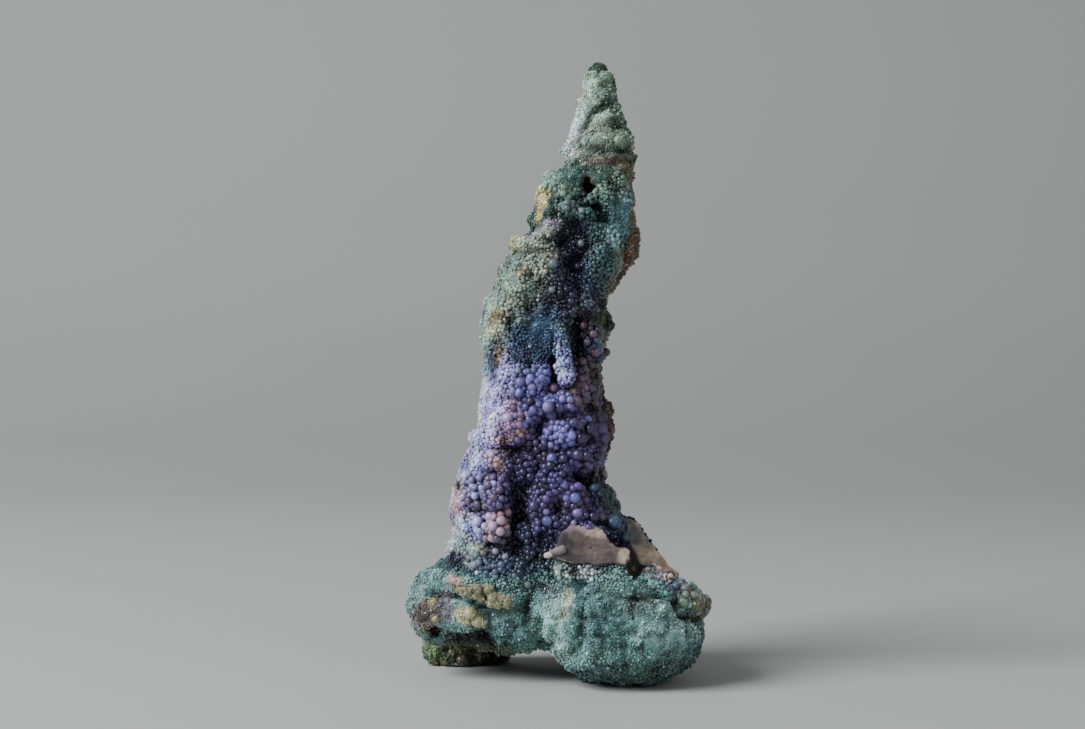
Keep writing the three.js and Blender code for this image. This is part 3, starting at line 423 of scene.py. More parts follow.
# Single mounds, ledges and hollows: rise, across, up, width, height.
MOUNDS = [
    # the spire
    (0.4, 7.4, 149, 4, 12), (0.5, 12.5, 152, 3.5, 4), (-1, 11.8, 146.5, 3.4, 1.2),
    (-1.1, 9.6, 144.9, 3.2, 1.4), (-1.1, 7.8, 143, 2.4, 2), (-0.9, 6.4, 140.6, 1.8, 2.6),
    (1.1, 12.4, 144.3, 4.6, 1.1), (0.8, 13.6, 146.6, 3.6, 1), (0.8, 11.6, 142.6, 4.6, 1.1),
    (-0.5, 2.6, 141, 3, 9), (0.6, 5, 139.8, 3, 6), (1.1, 7.4, 137.6, 3.2, 2.8),
    (0.9, 9.6, 139.2, 3, 2.4), (0.9, 12.2, 139.6, 3, 2.6), (1, 16, 137.6, 4.6, 4.2),
    (-0.4, 14.6, 134.9, 6, 1.2), (0.9, 16.8, 133.8, 4.4, 1), (0.3, 11, 133.8, 8, 1.6),
    (-0.7, 9.5, 129.9, 13, 1.2), (-1.8, -1.4, 132.6, 5, 3.4), (-0.7, 4.4, 136.4, 3.6, 0.9),
    (0.3, 17.6, 130.4, 3.4, 3),
    # the head
    (0.7, -2, 128, 6, 4.6), (1.2, 3.8, 128.4, 4.6, 3.2), (1.5, 1.8, 125.3, 4.4, 3.6),
    (1.4, 13, 127.6, 5.6, 4), (-1.7, 4.6, 123, 4.6, 1.6), (1.7, 5.4, 120.8, 4.4, 3.6),
    (-1.9, 9, 120.7, 5, 1.8), (1.1, 2.6, 118.4, 3, 2.6), (1, 7.6, 118.6, 3.4, 2.6),
    (1.7, 15.4, 122.6, 5, 5.4), (1.4, 16.4, 117.4, 4.4, 4.4), (-1, 12.4, 119, 1.8, 6),
    (0.7, -3.4, 121.6, 3.6, 6.4), (-1.2, -0.6, 120.4, 1.8, 6), (0.9, -1.2, 115.8, 4.4, 3),
    (0.3, -5.4, 114.6, 5, 2.4), (-1, -1, 112.2, 4.6, 1.6),
    # the shaft
    (-1.8, -9.6, 115.2, 8, 2.4), (0.8, -9.6, 111.4, 5.6, 1.8), (-1.2, -6, 109.2, 7, 1.6),
    (1.5, -1.3, 106.3, 3.4, 3.4), (-1.8, 4.4, 111.5, 6.6, 12), (1.3, 12, 113, 4.6, 4.6),
    (1.2, 12.4, 107.6, 5, 5.4), (1, 11.6, 102.8, 4.4, 4.6), (-1.5, 5.4, 103.4, 2.2, 9.6),
    (0.9, 3.4, 98.4, 3.4, 3), (0.9, 1.4, 94.4, 3.6, 3.4), (1, 7.6, 96.6, 3.4, 5),
    (1.1, -11.6, 104.6, 5, 5), (1, -15.6, 95, 4.6, 5.4), (-1.1, -12.2, 92.4, 2.4, 6),
    (1, -17.6, 88.6, 4, 5.4), (-1.1, -15.2, 83.6, 2.6, 6), (0.9, -12, 98, 4, 5), (-1, -7, 97, 2.6, 9),
    (1.2, 0.5, 87.4, 1.4, 6), (1.7, 1.4, 83, 1.5, 6.5), (1.9, 2.2, 78.5, 1.7, 6.5),
    (1.5, 2.8, 74, 2, 6), (1.2, 3.6, 70.6, 4, 3.6), (-2.2, 5, 86, 2.4, 12), (-1.8, -0.9, 77.6, 2, 8),
    (1.2, 9.4, 88, 2.8, 2.8), (1.4, 9.4, 83.6, 3.2, 3.2), (1.3, 6.2, 79.6, 3.4, 3.6),
    (-1.5, 8.6, 78.8, 2.2, 5), (1.2, 7.6, 74.4, 4.2, 4.4), (-1.2, 13.4, 77, 3.4, 14),
    # the grapes
    (1.5, -8.6, 77.6, 4.2, 3.6), (1.3, -4.2, 77.4, 3.4, 3.2), (1.8, -8, 73.4, 6, 3.4),
    (-1.4, -7, 71.6, 8, 1), (1.5, -8.8, 68.6, 5.4, 4.6), (1.5, -3, 69.4, 6.4, 2.6),
    (-1.8, -3.4, 66.6, 2.2, 4.6), (2, -12.7, 66, 4.4, 4), (1.7, -0.5, 62, 7, 6),
    (-1.4, -1.2, 58.4, 6, 1.6), (2, 6.8, 62.8, 8.4, 8), (-1.6, 3, 59.6, 2.4, 5),
    (1.6, 6.6, 56.8, 6, 3.6), (1.4, -0.6, 56.4, 5.4, 3.4), (-1.3, -7, 57, 5, 3.6),
    (-1.8, -5.2, 62.8, 2.4, 3.6), (1.2, -9.6, 53, 5.6, 5), (-1.1, 5.6, 51, 5.4, 3.6),
    (1.5, 1, 50.6, 3.6, 5), (1.8, -3.6, 48.6, 5.4, 5.4), (-1.6, -7, 47.6, 2.2, 7), (0.6, 9, 48.6, 4, 4),
    (-2, 13.4, 52.5, 4, 4.4), (1.8, 4, 46.2, 6.4, 3.2), (-1.8, -0.4, 44.6, 3, 3.6),
    (1.6, 4.6, 42.2, 5.4, 3.6), (1.7, -3, 40.8, 4.6, 5.4), (1.3, 9.6, 41.2, 5.4, 3),
    (-1.1, -10.6, 48, 4, 8), (-1.5, -7.4, 40.6, 4.6, 3), (0.9, -16.5, 70, 6, 12),
    (1.5, -15.4, 61.4, 10, 3.2), (-0.9, -14.2, 59.2, 10, 1.4), (1.3, -16, 55.6, 6.6, 4),
    (-1.4, -18.6, 52.6, 6, 1.8), (1.9, -21.4, 47.8, 6, 6.4), (1.7, -15.8, 47.6, 5, 5.4),
    (-1.7, -18.6, 47.6, 1.4, 6.4), (-1.9, -18.4, 42.8, 7.4, 1.3), (-1.7, -14.4, 43.9, 3.4, 1.4),
    (1.8, -16, 39.6, 5.2, 8.6), (1.3, -21.4, 38.6, 5, 5), (1, -25.6, 43, 5, 4.6),
    (-1.2, -12.2, 38.6, 1.6, 8), (-1.2, -17.6, 34.6, 7.4, 1.6), (1.1, -20.2, 33, 3.6, 3.2),
    (0.3, 12.6, 45.2, 4, 6), (1, 14, 39, 4.2, 4), (-1.5, 14, 35, 5, 2.2),
    # the shelf and the base
    (1.1, -14.2, 28.2, 3, 4.6), (0.9, -20.8, 28.4, 4.6, 3.6), (1, -9.4, 27, 3.6, 3.2),
    (1.2, -26.2, 24.8, 4.6, 2.4), (1.9, -23.6, 22.2, 5.4, 3.2), (-1.6, -25.9, 20.8, 3.4, 1.2),
    (2.1, -19.6, 22.2, 4.8, 4.2), (1.8, -14.6, 19.6, 6.4, 3.2), (-2.4, -18.3, 21.2, 1.6, 2.2),
    (-1.7, -21.5, 20.4, 1.4, 2.8), (-1.3, -17, 18, 7.4, 1.2), (1.3, -22, 15.8, 6, 5.2),
    (0.9, -31, 24.6, 9, 4), (1, -35, 16, 5, 6), (-0.9, -31.4, 12.4, 2.6, 1.8), (-1, -32, 21, 5, 1.6),
    (1.1, -28.6, 16.4, 5, 6), (-1.2, -21, 10.6, 12, 1.4), (1.1, -12, 13, 8, 6),
    (-0.9, -8, 17.5, 1.6, 8), (1, -4, 14.6, 5, 6), (-1.6, -2.6, 8.6, 3.4, 1.6), (1.5, 1, 19, 6, 8),
    (1.2, 0.6, 11, 5, 7), (1, 4.6, 6, 7.4, 5.4), (-1.4, 6.2, 13.6, 1.8, 10), (1, 4.6, 23.4, 5, 4),
    (-0.9, 2.6, 15.4, 4.6, 1.2), (0.5, 10.6, 17, 6, 8), (0.7, 14, 24.6, 8, 4),
    (-1.5, 21.6, 20.7, 6, 1.3), (0.8, 23.4, 23.2, 6, 4), (0.5, 24, 12, 9, 7), (-0.9, 17, 10, 2, 8),
    (0.5, 18, 4, 9, 5), (-0.6, 25.6, 28.6, 7, 3), (-1.6, 20.4, 28.4, 2, 5), (0.7, 31, 23.2, 4.6, 2.4),
    (1.5, 33.4, 19.4, 3.4, 3.6), (0.8, 36.6, 18.4, 3.6, 4.2), (-2.2, 30.6, 19.6, 1.8, 4.6),
    (-1.5, 34.4, 15.6, 5, 1.4), (-1.2, 35, 26, 7, 3.4), (-1, 30, 29.6, 5, 4),
]
# Where the crust is sugary crystals and not round beads: across, up, length, breadth, lean.
SUGAR = [
    (10, 146, 32, 17, 90), (11, 132.5, 20, 6, 0), (6, 128.5, 26, 7, 0), (-3.6, 121.5, 11, 5, 68),
    (15.5, 119, 14, 7, 85), (-4.6, 114.8, 13, 5, 20), (-15.8, 96, 38, 6.5, 66),
    (-9.5, 110.5, 9, 4, -20), (-18.5, 70, 26, 6, 78), (-27, 39, 26, 6.5, 72), (-19.5, 90, 40, 4, 80),
    (-4.5, 90, 12, 8, 0), (-31, 17, 22, 26, 0), (-22, 20, 26, 8, 0), (-20, 11, 40, 12, 0),
    (0, 13, 60, 20, 0), (19, 12, 42, 26, 0), (19.4, 115, 28, 3.6, 92), (17, 103.5, 14, 4.4, 50),
    (12.4, 90, 12, 6, 90), (13.2, 62, 26, 4.4, 92),
]
# Bare hollows, where no bead grows: across, up, length, breadth, lean.
BARE = [
    (8.3, 127, 4.4, 5.6, 0), (20.6, 29.6, 7, 4.4, -60), (-18.3, 21.2, 2, 2.8, 0),
    (-25.8, 20.9, 2.4, 0.9, -30), (30.6, 19.6, 1.6, 3.6, 20),
]

# ------------ single growth
# Grapes placed one by one: colour, across, up, diameter.
GRAPES = [
    ("orchid", -12.7, 66.1, 3), ("lavender", -2, 69.5, 3.2), ("pink", -0.7, 74, 2.8),
    ("lavender", -5, 68.6, 2.2), ("iris", -9.5, 69, 2.5), ("lavender", -7, 74.4, 2.4),
    ("iris", -9.2, 73, 2.8), ("lavender", -7.5, 67.7, 2.3), ("iris", -8.5, 65.4, 2.8),
    ("grape", -6.8, 70.6, 2.3), ("lavender", -2.2, 72, 1.9), ("grape", -3.4, 74.2, 2),
    ("iris", -8, 78.2, 2.4), ("grape", -10.4, 76.4, 2), ("iris", -4.2, 77, 2.2),
    ("lavender", 0.2, 65, 1.7), ("lavender", 1.6, 63.6, 1.7), ("mauve", 2.4, 61.6, 1.8),
    ("lavender", -0.4, 59.6, 2), ("lavender", -1.9, 59.9, 1.8), ("iris", -2.6, 63.2, 1.9),
    ("iris", -1.4, 61.6, 1.8), ("lavender", 0.9, 61, 1.6), ("iris", 7.5, 66, 2.3),
    ("grape", 5.2, 64.6, 3), ("grape", 8.6, 63, 3.4), ("grape", 5.8, 61.6, 3.2), ("grape", 9.6, 60, 3),
    ("raisin", 2.9, 65.6, 2.4), ("grape", 5.5, 57, 3.4), ("grape", 7.4, 57, 3.2),
    ("iris", -0.9, 56.5, 3), ("grape", 1.6, 56.3, 2.4), ("raisin", 9.8, 57, 2.6), ("grape", 1, 52, 2.1),
    ("iris", 1.1, 49.6, 2.6), ("raisin", -4.4, 49.2, 2.2), ("raisin", -2.9, 49, 2.3),
    ("raisin", -3.6, 47.6, 2.2), ("grape", -6.6, 45.2, 2.1), ("grape", -7.3, 43.1, 2),
    ("rose", -1.7, 44.2, 1.7), ("lavender", -3.1, 42.8, 2), ("iris", -3.2, 40.2, 3),
    ("iris", 4.3, 46.4, 2.8), ("iris", 2.3, 46.5, 2.3), ("grape", 4.2, 44, 2.5),
    ("lavender", 5, 41.8, 2.9), ("grape", 8.8, 41.5, 3), ("plum", 10.9, 41.1, 2.2),
    ("lavender", 4, 39.9, 1.8), ("steel", 9.8, 48.2, 3), ("grape", 6.8, 48, 2.2),
    ("ash", 11.4, 52.3, 2.4), ("steel", 14, 39.3, 4), ("steel", 16.4, 36.2, 2.8),
    ("abyss", 12.6, 47.4, 3), ("abyss", 14.2, 44.6, 3), ("abyss", 11.8, 44.6, 2.6),
    ("plum", 4.6, 70.9, 3), ("plum", 7.8, 74, 2.6), ("wine", 8.9, 70.6, 2.6), ("plum", 9.2, 83.6, 2.9),
    ("plum", 9, 88, 2.5), ("plum", 6.3, 81, 2.6), ("dusk", 7.6, 86, 2.2), ("plum", 9.6, 79.6, 2.4),
    ("dusk", 8.8, 76.6, 2.4), ("plum", 7, 90.4, 2), ("grape", 5.6, 78.4, 2.5),
    ("slate", -1.3, 106.3, 2.6), ("grape", 5.2, 105.6, 1.8), ("raisin", 3.6, 98.3, 2.2),
    ("slate", -1.4, 99.4, 1.9), ("slate", 6, 111.6, 2), ("rose", -18.2, 56.6, 1.7),
    ("rose", -16.8, 55.6, 1.8), ("dusk", -15.4, 57.4, 1.7), ("dusk", -19.3, 58.3, 2),
    ("mauve", -21.6, 49.2, 1.9), ("mauve", -19.8, 48.2, 2.2), ("mauve", -21.2, 46.6, 2),
    ("dusk", -22.6, 45.4, 2.2), ("dusk", -20.6, 44.6, 2.2), ("mauve", -16.4, 49.4, 2.2),
    ("dusk", -14.9, 47.6, 2.4), ("dusk", -16.4, 46.2, 2.4), ("orchid", -15.4, 42.6, 2.6),
    ("orchid", -17.2, 41, 2.8), ("rose", -14.6, 40.2, 2.6), ("orchid", -16.4, 38.6, 2.8),
    ("rose", -14.8, 37.6, 2.4), ("rose", -16.6, 36.2, 2.4), ("orchid", -18.6, 38.8, 2.2),
    ("ash", -15.8, 32.4, 2), ("ash", -13.4, 30.6, 1.8), ("ash", -9.2, 32.4, 1.7),
    ("navy", -11.6, 42.4, 1.9), ("navy", -11, 40.6, 1.9), ("navy", -9.6, 26.8, 2.6),
    ("steel", -14.2, 29, 2.3), ("steel", -14.1, 27.6, 2.3), ("frost", -20.6, 26.9, 1.3),
    ("steel", -16.8, 26.4, 1.8), ("slate", -7.6, 24, 2), ("ash", -21, 29, 2.2),
    ("chalk", 24.4, 28.3, 1.8), ("sand", 25.8, 27.5, 2), ("sand", 27.4, 26.8, 1.8),
    ("sand", 23.2, 27.4, 1.6), ("sand", 28.9, 25.8, 1.6), ("ash", 23.4, 25.4, 1.8),
    ("ash", 26.4, 25.6, 1.6), ("steel", 30.2, 23.2, 2.2), ("ash", 31.4, 24.6, 1.9),
    ("ash", 33.2, 22.8, 1.9), ("steel", 34.6, 21.8, 2), ("chalk", 8.9, 25.2, 1.3),
    ("chalk", 7, 25.8, 1), ("chalk", 7.6, 24.9, 1), ("chalk", 8.8, 26.6, 1), ("chalk", 5.6, 28.4, 1),
    ("chalk", 2.4, 26, 1.1), ("chalk", 7.6, 30, 1), ("chalk", 10.2, 29.2, 1.1),
]
# Duller lumps that swell out of the crust: colour, across, up, diameter.
NODULES = [
    ("peach", 3.7, 73.4, 1.7), ("moss", -1.3, 106.3, 2.8), ("jade", 1.4, 125.6, 2.6),
    ("jade", 2.8, 124.6, 2), ("jade", 16, 138, 3.4), ("moss", 14.4, 136.9, 2.6),
    ("mist", 7.2, 137.8, 2), ("peach", -13.2, 57.5, 1.7), ("peach", -15.7, 54.6, 1.8),
    ("peach", -15, 53.7, 1.6), ("peach", -17.8, 35.6, 1.6), ("cream", -20.2, 33.2, 2.4),
    ("sand", -26.8, 24.7, 2.2), ("sand", -25.4, 24.6, 2), ("cream", -25, 22.6, 2.4),
    ("cream", -23.4, 22.2, 3), ("cream", -22.4, 21.4, 2.2), ("cream", -20.6, 22.8, 2.4),
    ("cream", -19.4, 20.4, 2.4), ("cream", -17.6, 22.6, 2.2), ("cream", -16.6, 20.8, 2.6),
    ("cream", -15.6, 19, 2.4), ("cream", -14.4, 20.2, 2.2), ("cream", -13, 19.4, 2.4),
    ("cream", -17.2, 19, 2), ("olive", -22.6, 16.6, 3.4), ("olive", -21, 14.6, 3),
    ("olive", -23, 14.4, 2.4), ("cream", -19.2, 13.8, 1.8), ("straw", -32, 19.6, 1.8),
    ("straw", -31.4, 15, 1.7), ("khaki", -24.2, 4.8, 3), ("leaf", -33.2, 8, 2.6),
    ("leaf", -33.6, 5.8, 2.2), ("sand", 26, 27.6, 1.9), ("sand", 22.4, 27, 1.6),
    ("tan", 19.2, 27.8, 1.9), ("jade", 32.6, 19.4, 2.6), ("moss", 34.6, 20.2, 2.6),
    ("khaki", 36, 18.4, 3.2), ("khaki", 37.8, 19.2, 2.6), ("khaki", 36.8, 16.8, 2.6),
    ("moss", 34.6, 17.6, 2.4),
]
# A stub of a broken grape finger at the front plate's lower left: colour, across, up, diameter.
STUB = [("shell", -2.9, 31.8, 1.4), ("shell", -1.2, 32.2, 1.7), ("shell", 1.1, 33.0, 2.2)]
STUB_STEPS = 6
STUB_LIFT = 0.4  # how far its balls stand out, in their radius
STUB_PROUD = 0.6  # and how far the finger stands before the plate
# A thin pale ledge line under the stub: across, up, in grains of one size.
THREAD = [(0.0, 30.6), (1.2, 30.3), (2.4, 29.8), (4.2, 29.4)]
THREAD_GRAIN = 0.34
THREAD_STEP = 0.6  # from grain to grain, in grains

# ------------ plates
# The broken plates: name, colour, the outline of the face, and the colours that cloud it, some painted
# shade.
PLATES = [
    ("front_plate", "plate", [
        (-1.4, 32), (-0.7, 33.8), (0.2, 35.8), (1.2, 37.7), (3, 38.9), (5.5, 39.3), (8, 38.9),
        (10.8, 38.3), (12, 37.2), (13.1, 35.6), (15, 33.2), (17, 33.3), (18.3, 32.4), (18.7, 30.4),
        (17.4, 28.8), (14, 29.4), (10, 29.2), (4.5, 29), (0.5, 30.2),
    ], [
        # the shade clouds: painted shade on the plate's lower left and under its stepped edge
        ("shade", 0.5, 34, 8, 9, 60, 0.95), ("shade", 5, 30.5, 10, 3, 0, 0.7),
        ("edge", 17.2, 31.2, 5, 4.6, 70, 0.6), ("shade", 14.9, 31.4, 5, 1.2, 65, 0.6),
        ("edge", 9, 37.6, 9, 3, -18, 0.6), ("rose", 4, 38.2, 5, 2, 10, 0.4),
    ]),
    ("back_plate", "edge", [
        (15.6, 39.5), (16.6, 40.9), (19, 40.6), (20.6, 39.6), (22.2, 36.7), (25.5, 32.9), (28.4, 28.6),
        (30.9, 26.9), (30.9, 25.4), (28, 25.4), (24, 25.6), (20, 27), (18.6, 31.5), (17, 35.5),
    ], [
        ("ivy", 17.6, 38, 9, 6, -50, 0.8), ("stone", 21.5, 36, 8, 5, -50, 0.7),
        # the dark brown cloud at across 19.8, up 30: painted shade along the back plate's lower left
        # edge
        ("umber", 19.8, 30, 8, 3.2, -60, 0.8), ("edge", 25.5, 31, 7, 3, -52, 0.6),
        ("sand", 27.6, 28, 8, 3.6, -48, 0.6),
    ]),
]
PLATE_BARE = 0.9  # share of a plate's outline inside which no bead grows
PLATE_REACH = 1.4  # how far from a plate's plane the ground still counts as its face
PLATE_SINK = 0.3  # how far the ground lies under that face
PLATE_LUMPS = 0.08
PLATE_PROUD = 0.35  # how far a plate's face stands before the solid's
PLATE_BEVEL = 0.18
PLATE_DEPTH = 1.8
PLATE_STEP = 0.4
PLATE_RINGS = 24
PLATE_HUB = 0.03  # innermost ring, as a share of the outline
PLATE_TONE = 1.4  # how much lighter the grain's tops are: painted light on its tops and painted shade in its hollows
PLATE_STREAKS = (0.35, 1, 1.6)  # how its clouding is drawn out sideways


# ------------ numbers
def rgb(name):
    """A palette colour as linear light, by the usual sRGB curve."""
    part = np.array(PALETTE[name]) / 255.0
    return np.where(part <= 0.04045, part / 12.92, ((part + 0.055) / 1.055) ** 2.4)


def blend(low, high, share):
    """From low, at a share of 0, to high, at 1."""
    return low + (high - low) * share


def smooth(low, high, value):
    """0 below low, 1 above high, and a soft step between."""
    share = np.clip((value - low) / (high - low), 0.0, 1.0)
    return share * share * (3.0 - 2.0 * share)


def hashed(cells, seed):
    """A repeatable number from -1 to 1 for each whole-number place.

    The multipliers and shifts are the usual ones of spatial hashes and of xxHash.
    """
    mixed = cells[..., 0] * 73856093 ^ cells[..., 1] * 19349663 ^ cells[..., 2] * 83492791
    mixed = (mixed + seed * 2654435761) & 0xFFFFFFFF
    mixed = (mixed ^ (mixed >> 15)) * 2246822519 & 0xFFFFFFFF
    mixed = (mixed ^ (mixed >> 13)) * 3266489917 & 0xFFFFFFFF
    mixed ^= mixed >> 16
    return (mixed & 0xFFFFFF) / (0xFFFFFF / 2) - 1.0


def lattice(points, width):
    """Points measured in cells of the turned lattice, and the cell that each lies in."""
    scaled = points @ TURN / width
    return scaled, np.floor(scaled).astype(np.int64)


def noise(points, width, seed):
    """Smooth random lumps about as wide as width, nearly always from -1 to 1."""
    scaled, low = lattice(points, width)
    part = scaled - low
    part = part * part * part * (part * (part * 6 - 15) + 10)  # the usual fade, level at both ends
    total = np.zeros(len(points))
    for corner in np.ndindex(2, 2, 2):
        corner = np.array(corner)
        share = np.prod(np.where(corner == 1, part, 1 - part), axis=1)
        total += share * hashed(low + corner, seed)
    return total * NOISE_GAIN


def layers(points, name):
    """The sum of a named noise's layers."""
    return sum(share * noise(points, width, seed) for share, width, seed in NOISES[name])


def domes(points, width, seed):
    """Round clumps about as wide as width.

    Gives 0 in the creases between them and 1 on their tops, and a number from -1 to 1 for each clump.
    """
    scaled, low = lattice(points, width)
    nearest = np.full(len(points), np.inf)
    mark = np.zeros(len(points))
    for corner in np.ndindex(3, 3, 3):
        cell = low + np.array(corner) - 1
        centre = cell + 0.5 + CELL_SPREAD * np.stack([hashed(cell, seed + k) for k in range(3)], axis=1)
        reach = np.linalg.norm(scaled - centre, axis=1)
        closer = reach < nearest
        nearest[closer] = reach[closer]
        mark[closer] = hashed(cell, seed + 3)[closer]
    return 1.0 - np.clip(nearest / CELL_REACH, 0.0, 1.0) ** 2, mark


def unit(vectors):
    """The same vectors, each of length 1."""
    return vectors / np.linalg.norm(vectors, axis=1, keepdims=True)


# ------------ places in the elevation
def shown(points):
    """Where points show in the front elevation: across and up."""
    spread = (PLANE_Y - EYE[1]) / (points[:, 1] - EYE[1])
    return blend(EYE[0], points[:, 0], spread), blend(EYE[2], points[:, 2], spread)


def seen(tree, across, up):
    """The point, normal and triangle that the eye meets behind a place of the elevation."""
    sight = Vector((across + SHIFT, PLANE_Y, up)) - Vector(EYE)
    return tree.ray_cast(Vector(EYE), sight)[:3]


def oval(place, patch, fray=0.0):
    """1 at the middle of an oval patch, falling to 0 at its frayed edge."""
    across, up = place
    x, z, length, breadth, lean = patch
    turn = math.radians(lean)
    dx, dz = across - (x + SHIFT), up - z
    along = dx * math.cos(turn) + dz * math.sin(turn)
    over = -dx * math.sin(turn) + dz * math.cos(turn)
    reach = np.hypot(along / (length / 2), over / (breadth / 2)) + fray
    return 1.0 - smooth(*OVAL_EDGE, reach)


def painted(colour, patches, place, fray):
    """The colour with patches laid over it, one after the other."""
    for name, *patch, strength in patches:
        share = strength * oval(place, patch, fray)
        colour = blend(colour, rgb(name), share[:, None])
    return colour


def inside(place, outline):
    """True inside a polygon of the front elevation."""
    across, up = place
    result = np.zeros(len(across), bool)
    corners = outline + np.array([SHIFT, 0.0])
    for (x0, z0), (x1, z1) in zip(corners, np.roll(corners, -1, axis=0)):
        crosses = (z0 > up) != (z1 > up)
        at = (x1 - x0) * (up - z0) / (z1 - z0 + TINY) + x0
        result ^= crosses & (across < at)
    return result


def front_share(points):
    """1 on the front and 0 on the back."""
    return 1.0 - smooth(FRONT_FULL, FRONT_NONE, points[:, 1] + layers(points, "front edge"))


def plate_plane(solid, outline):
    """A point and the normal of the solid's face behind the middle of a plate's outline."""
    return [np.array(found) for found in seen(solid, *outline.mean(axis=0))[:2]]


def on_plate(points, solid):
    """True on the plates' faces."""
    hit = np.zeros(len(points), bool)
    for _, _, outline, _ in PLATES:
        outline = np.array(outline)
        centre, facing = plate_plane(solid, outline)
        near = np.abs((points - centre) @ facing) < PLATE_REACH
        hit |= near & inside(shown(points), blend(outline.mean(axis=0), outline, PLATE_BARE))
    return hit


# ------------ colour, size and form by place
def colour_at(points):
    """The stone's colour at points, linear, before the change from bead to bead, with painted shade
    among its patches.
    """
    place = shown(points)
    fray = layers(points, "patch edges")
    heights = np.array([height for height, _ in BANDS], float)
    tones = np.array([rgb(name) for _, name in BANDS])
    at = points[:, 2] + layers(points, "band edges")
    colour = np.stack([np.interp(at, heights, tones[:, k]) for k in range(3)], axis=1)
    colour = painted(colour, PATCHES, place, fray)
    grey = smooth(*GREY_SPAN, layers(points, "grey"))[:, None]
    back = painted(blend(rgb("earth"), rgb("rock"), grey), BACK_PATCHES, place, fray)
    colour = painted(blend(back, colour, front_share(points)[:, None]), RIM_PATCHES, place, fray)
    above_foot = np.where(points[:, 2] < FOOT_TOP, 0.0, np.inf)
    return painted(colour, FOOT_PATCHES, place, fray + above_foot)


def bead_size_at(points):
    """Radius of the largest beads that grow at points."""
    place = shown(points)
    size = np.full(len(points), PLAIN_RADIUS)
    fray = layers(points, "size edges")
    for radius, *patch in BEAD_SIZES:
        size = blend(size, radius, oval(place, patch, fray))
    front = front_share(points)
    return size * front + BACK_RADIUS * (1 - front)


def mounds_at(points):
    """Rise of the single mounds and hollows."""
    place = shown(points)
    rise = np.zeros(len(points))
    for most, *middle, width, height in MOUNDS:
        rise += most * oval(place, (*middle, width * MOUND_SPREAD, height * MOUND_SPREAD, 0))
    return rise * front_share(points)


def sugar_at(points):
    """1 where the crust is sugary, 0 where it is beads."""
    place = shown(points)
    fray = layers(points, "sugar edges")
    sugar = np.max([oval(place, patch, fray) for patch in SUGAR], axis=0)
    front = front_share(points)
    return sugar * front + (1 - front)


def clumps_at(points):
    """The clumps' rise in millimetres, how high in its clump each point is, and its clump's number."""
    place = shown(points)
    front = front_share(points)
    plain_rise, plain_width, plain_seed = PLAIN_CLUMPS
    rise = np.full(len(points), plain_rise)
    high, mark = domes(points, plain_width, plain_seed)
    total = rise * high
    for index, (most, width, *patch) in enumerate(CLUMPS):
        share = oval(place, patch) * front
        here, number = domes(points, width, CLUMP_SEED + CLUMP_SEED_STEP * index)
        total = blend(total, most * here, share)
        high = blend(high, here, share)
        mark = blend(mark, number, share)
        rise = blend(rise, most, share)
    return total - CLUMP_SINK * rise, high, mark


# ------------ meshes
def read(items, field, kind=np.float64):
    """One field of all vertices or triangles, three numbers a row."""
    values = np.empty(len(items) * 3, kind)
    items.foreach_get(field, values)
    return values.reshape(-1, 3)


def mesh_data(mesh):
    """Vertices in millimetres, unit normals and triangles of a mesh."""
    mesh.calc_loop_triangles()
    tris = read(mesh.loop_triangles, "vertices", np.int32)
    return read(mesh.vertices, "co") / MM, read(mesh.vertices, "normal"), tris


def tree_of(verts, tris):
    """A tree for casting rays at triangles."""
    return BVHTree.FromPolygons(verts.tolist(), tris.tolist())


def add_object(name, data):
    """A new object in the scene."""
    obj = bpy.data.objects.new(name, data)
    bpy.context.scene.collection.objects.link(obj)
    return obj


def new_object(name, verts, tris, colours, material, rounded=True):
    """An object made of triangles, with its colour in the attribute "tint"."""
    mesh = bpy.data.meshes.new(name)
    mesh.vertices.add(len(verts))
    mesh.vertices.foreach_set("co", (verts * MM).ravel())
    mesh.loops.add(len(tris) * 3)
    mesh.loops.foreach_set("vertex_index", tris.astype(np.int32).ravel())
    mesh.polygons.add(len(tris))
    mesh.polygons.foreach_set("loop_start", np.arange(0, len(tris) * 3, 3, dtype=np.int32))
    mesh.polygons.foreach_set("use_smooth", np.full(len(tris), rounded))
    tint = mesh.attributes.new("tint", "FLOAT_COLOR", "POINT")
    tint.data.foreach_set("color", np.column_stack([colours, np.ones(len(colours))]).ravel())
    mesh.update()
    mesh.validate()
    mesh.materials.append(bpy.data.materials[material])
    return add_object(name, mesh)


def ball(solid, cuts):
    """Corners and triangles of a solid, cut finer and rounded to radius 1."""
    corners, tris = SOLIDS[solid]
    verts = [Vector(corner).normalized() for corner in corners]
    for _ in range(cuts):
        halves = {}
        finer = []
        for a, b, c in tris:
            mids = []
            for i, j in ((a, b), (b, c), (c, a)):
                key = (min(i, j), max(i, j))
                if key not in halves:
                    halves[key] = len(verts)
                    verts.append((verts[i] + verts[j]).normalized())
                mids.append(halves[key])
            ab, bc, ca = mids
            finer += [(a, ab, ca), (b, bc, ab), (c, ca, bc), (ab, bc, ca)]
        tris = finer
    return np.array(verts), np.array(tris)


def random_turns(count, rng):
    """Random rotation matrices."""
    w, x, y, z = unit(rng.normal(size=(count, 4))).T
    return np.stack([
        np.stack([1 - 2 * (y * y + z * z), 2 * (x * y - z * w), 2 * (x * z + y * w)], axis=1),
        np.stack([2 * (x * y + z * w), 1 - 2 * (x * x + z * z), 2 * (y * z - x * w)], axis=1),
        np.stack([2 * (x * z - y * w), 2 * (y * z + x * w), 1 - 2 * (x * x + y * y)], axis=1),
    ], axis=1)


